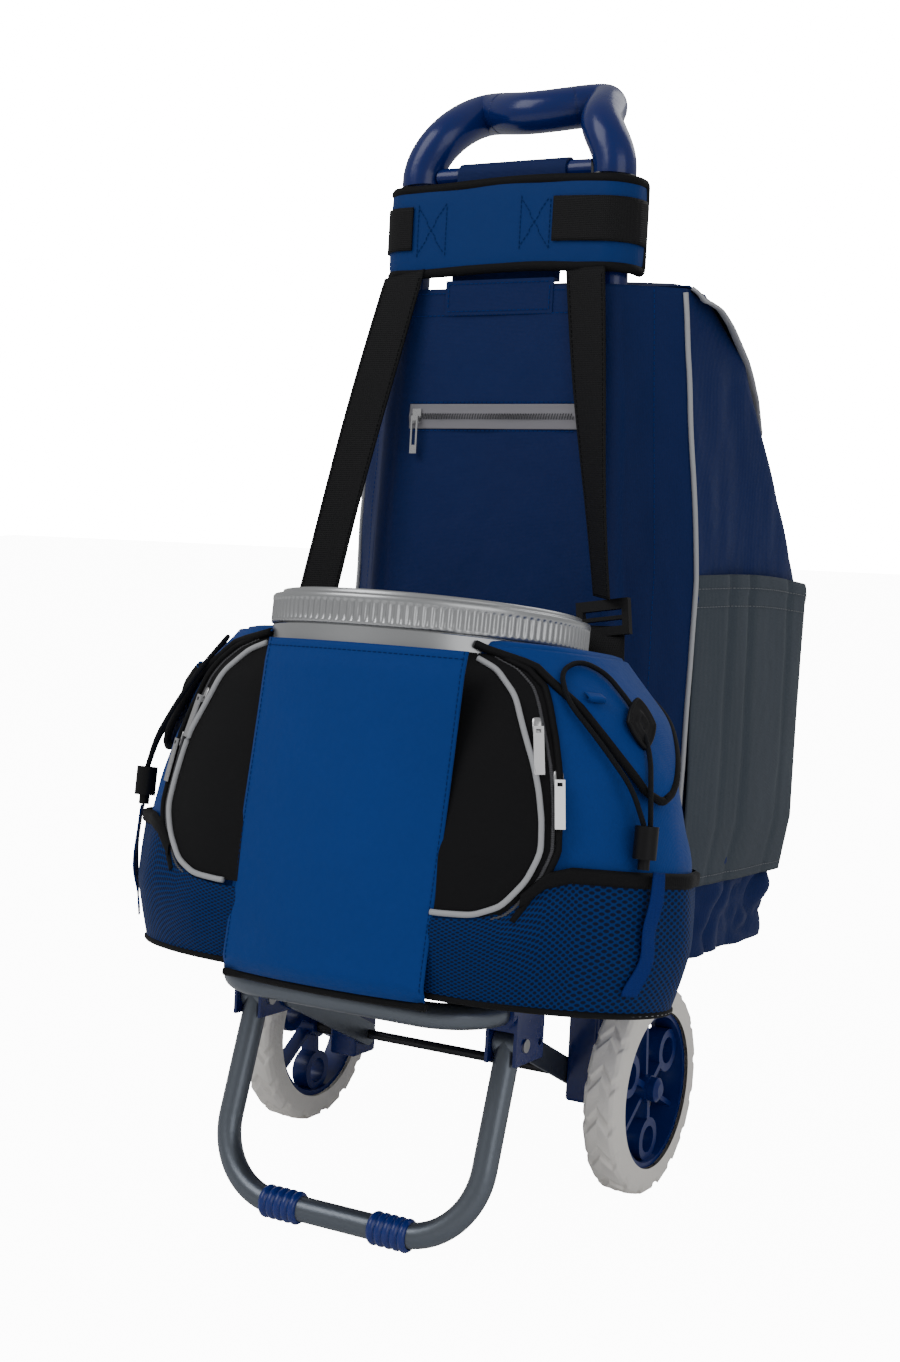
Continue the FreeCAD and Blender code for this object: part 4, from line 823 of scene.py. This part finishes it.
for side, way in (("left", -1), ("right", 1)):
    for name, turn, height in (("upper", -58, 186), ("lower", -52, 152)):
        place = on_lobe(way, turn, height + 3, 1.4)
        out = on_lobe(way, turn, height + 3, 12) - place
        out /= np.linalg.norm(out)
        tall = on_lobe(way, turn, height + 9, 1.4) - place
        tall /= np.linalg.norm(tall)
        wide = np.cross(out, tall)
        across, along = (squared(wave(full_turn(40)), 0.5)[:, None] for wave in (np.cos, np.sin))
        rings = np.stack([place + (3.6 * size * across) * wide + (6.2 * size * along) * tall + rise * out
                          for size, rise in slider_profile])
        slider = surface("zip_slider_%s_%s" % (name, side), on_cooler(rings), zip_metal, around=True)
        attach(slider, "trolley")
        coat("zip_pull_%s_%s" % (name, side), zip_metal)
    tab_rows = np.linspace(0, 1, 14)[:, None]
    tab_turns = np.linspace(-38.5, -31.5, 8)[None, :]
    tab_stand = 5.6 + 4.4 * np.sin(math.pi * tab_rows)
    tab_grid = on_lobe(way, tab_turns, 209 + 6 * tab_rows + 0 * tab_turns, tab_stand)
    tab = surface("cord_tab_" + side, on_cooler(facing(way, tab_grid)), cooler_blue, thick=0.001)
    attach(tab, "trolley")
    tail_rows = np.linspace(0, 1, 40)[:, None]
    tail_cols = np.linspace(-1, 1, 8)[None, :]
    tail_height = 100 - 84 * tail_rows + 0 * tail_cols
    tail_sway = 1.5 * np.sin(11 * tail_rows) * tail_rows
    tail_turn = -21 + (2.3 + 0.6 * tail_rows) * tail_cols - 2.6 * tail_rows + tail_sway
    tail_curl = 1.2 * np.sin(5 * tail_rows) + 1.4 * tail_cols * np.sin(9 * tail_rows) * tail_rows
    tail_grid = on_lobe(way, tail_turn, tail_height, 9.6 + tail_curl)
    tail = surface("cord_tail_" + side, on_cooler(facing(way, tail_grid)), tail_blue, thick=0.0014)
    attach(tail, "trolley")
    mesh = mesh_pockets[side]
    coat("elastic_cord_" + side, cord_black)
    coat("cord_lock_" + side, rubber_black)
    coat("cord_lock_button_" + side, rubber_black)

# ---- shoulder strap
# The cooler bag's black webbing strap goes up to the uprights. Its foam pad, covered in blue cloth and
# bound in black, is wrapped round both uprights below the handle, with the webbing over its ends.
webbing_black = finish("webbing_black", (0.004, 0.004, 0.005), 0.65, shine=0.25, weave=(190, 0.0006))
strap_half, strap_bow = 0.0185, 0.004
for side, head, foot, heading, twist, slant in (
        ("left", (-86, -24.5, 640), (-168, -28.7, 436), (1.0, 0.05), 0.1, 0.18),
        ("right", (78, -23.0, 640), (91, -14.7, 468), (0.985, -0.17), -0.62, 0.0)):
    head = on_upright(np.array([head], float))[0]
    foot = np.array(foot) / 1000
    down = np.linspace(0, 1, 90)[:, None]
    spine = head + (foot - head) * down
    spine[:, 1] -= strap_bow * np.sin(math.pi * down[:, 0])
    angle = math.atan2(heading[1], heading[0]) + twist * down[:, 0] ** 0.8 + 0.06 * np.sin(6 * down[:, 0])
    spread = np.stack([np.cos(angle), np.sin(angle), slant + 0 * angle], -1)
    offset = np.linspace(-1, 1, 16)[None, :]
    strap_grid = spine[:, None] + strap_half * spread[:, None] * offset[..., None]
    strap = surface("strap_webbing_" + side, strap_grid, webbing_black, thick=0.0016)
    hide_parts("shoulder_strap_" + side)
    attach(strap, "trolley")
    for number, offset in enumerate((1, -2)):
        row = strap_grid[2:, offset] - np.array([0, 0.001, 0])
        line = stitches("strap_seam_%s_%d" % (side, number), row, lining_black)
        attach(line, "trolley")
coat("strap_adjuster", rubber_black)
# below the adjuster and the left end, short tabs of webbing are sewn into the seams beside the drum
for side, head, foot in (("left", (-0.168, -0.0287, 0.438), (-0.136, -0.060, 0.395)),
                         ("right", (0.091, -0.0147, 0.446), (0.108, -0.052, 0.392))):
    down = np.linspace(0, 1, 24)[:, None, None]
    offset = np.linspace(-strap_half, strap_half, 10)[None, :, None]
    grid = np.array(head) + (np.array(foot) - np.array(head)) * down + offset * np.array([0.96, 0.28, 0])
    stub = surface("strap_tab_" + side, grid, webbing_black, thick=0.0016)
    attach(stub, "trolley")
pad_low, pad_tall, pad_half, pad_front, pad_corner, pad_rear = 641, 70, 108.5, -18.5, 20, 11
bend_x, bend_y = pad_half - pad_corner, pad_front + pad_corner
arc = np.linspace(0, math.pi / 2, 24)
plan = [(-pad_half, y) for y in np.linspace(pad_rear, bend_y, 16)[:-1]]
plan += [(-pad_half + pad_corner * (1 - math.cos(angle)), pad_front + pad_corner * (1 - math.sin(angle)))
         for angle in arc]
plan += [(x, pad_front) for x in np.linspace(-bend_x, bend_x, 110)[1:-1]]
plan += [(pad_half - pad_corner * (1 - math.sin(angle)), pad_front + pad_corner * (1 - math.cos(angle)))
         for angle in arc]
plan += [(pad_half, y) for y in np.linspace(bend_y, pad_rear, 16)[1:]]
plan = np.array(plan)
way_along = np.gradient(plan, axis=0)
way_along /= np.linalg.norm(way_along, axis=1, keepdims=True)
pad_out = np.stack([way_along[:, 1], -way_along[:, 0]], -1)
end_ease = np.clip(np.minimum(np.arange(len(plan)), np.arange(len(plan))[::-1]) / 6, 0, 1) ** 0.5


def on_pad(index, rise, stand):
    """A point on the pad: index along its plan, rise -1 to 1 over its height, stand in mm outward."""
    index, rise, stand = np.broadcast_arrays(index, rise, stand)
    place = plan[index] + pad_out[index] * stand[..., None]
    sag = 1.5 * np.sin(place[..., 0] * 0.03 + 1)
    return np.stack([place[..., 0], place[..., 1], pad_low + pad_tall / 2 + rise * pad_tall / 2 + sag], -1)


turns = full_turn(96)[None, :]
index = np.arange(len(plan))[:, None]
plump = (3.6 + np.cos(plan[:, :1] * 0.045) ** 2) * end_ease[:, None]
stand = plump * squared(np.sin(turns), 0.7)
rise = squared(np.cos(turns), 0.35) * (0.9 + 0.1 * end_ease[:, None])
pad_grid = on_pad(index, rise, stand + 1.2)
pad_cloth = finish("pad_cloth", (0.001, 0.030, 0.165), 0.6, shine=0.2, sheen=0.03, weave=(420, 0.0002),
                   mottle=0.08)
pad = surface("strap_pad", on_upright(pad_grid[:, ::-1]), pad_cloth, around=True)
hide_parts("shoulder_pad")
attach(pad, "trolley")
inner = np.arange(2, len(plan) - 2)
edge = np.concatenate([on_pad(inner, 0.97, 1.5), on_pad(len(plan) - 2, np.linspace(0.9, -0.9, 14), 1.5),
                       on_pad(inner[::-1], -0.97, 1.5), on_pad(1, np.linspace(-0.9, 0.9, 14), 1.5)])
for step in range(3):
    edge = (np.roll(edge, 1, 0) + 2 * edge + np.roll(edge, -1, 0)) / 4
pad_binding = tube("strap_pad_binding", on_upright(edge), 0.0042, binding_black, closed=True)
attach(pad_binding, "trolley")
# the webbing lies over both ends of the pad; the cloth between is sewn down with a crossed square each side
for side, first, last in (("left", 3, 44), ("right", 122, len(plan) - 3)):
    columns = np.arange(first, last)[:, None]
    band_rise = np.linspace(-0.5, 0.5, 12)[None, :]
    face = plump[columns[:, 0]] * 0.98
    band_grid = on_pad(columns, band_rise + 0.06, 2.6 + face + 0 * band_rise)
    band = surface("pad_webbing_" + side, on_upright(band_grid[:, ::-1]), webbing_black, thick=0.0014)
    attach(band, "trolley")
cross_lines = (((0, -0.6), (0, 0.6)), ((1, -0.6), (1, 0.6)), ((0, -0.6), (1, 0.6)), ((0, 0.6), (1, -0.6)))
for name, ends in (("cross_left", (46, 62)), ("cross_right", (104, 120))):
    for number, (start, end) in enumerate(cross_lines):
        share = np.linspace(0, 1, 20)
        place = ends[0] + (ends[1] - ends[0]) * (start[0] + (end[0] - start[0]) * share)
        place = place.astype(int)
        line = on_pad(place, start[1] + (end[1] - start[1]) * share, 1.5 + plump[place, 0])
        sewn("pad_%s_%d" % (name, number), line, thread_dark)
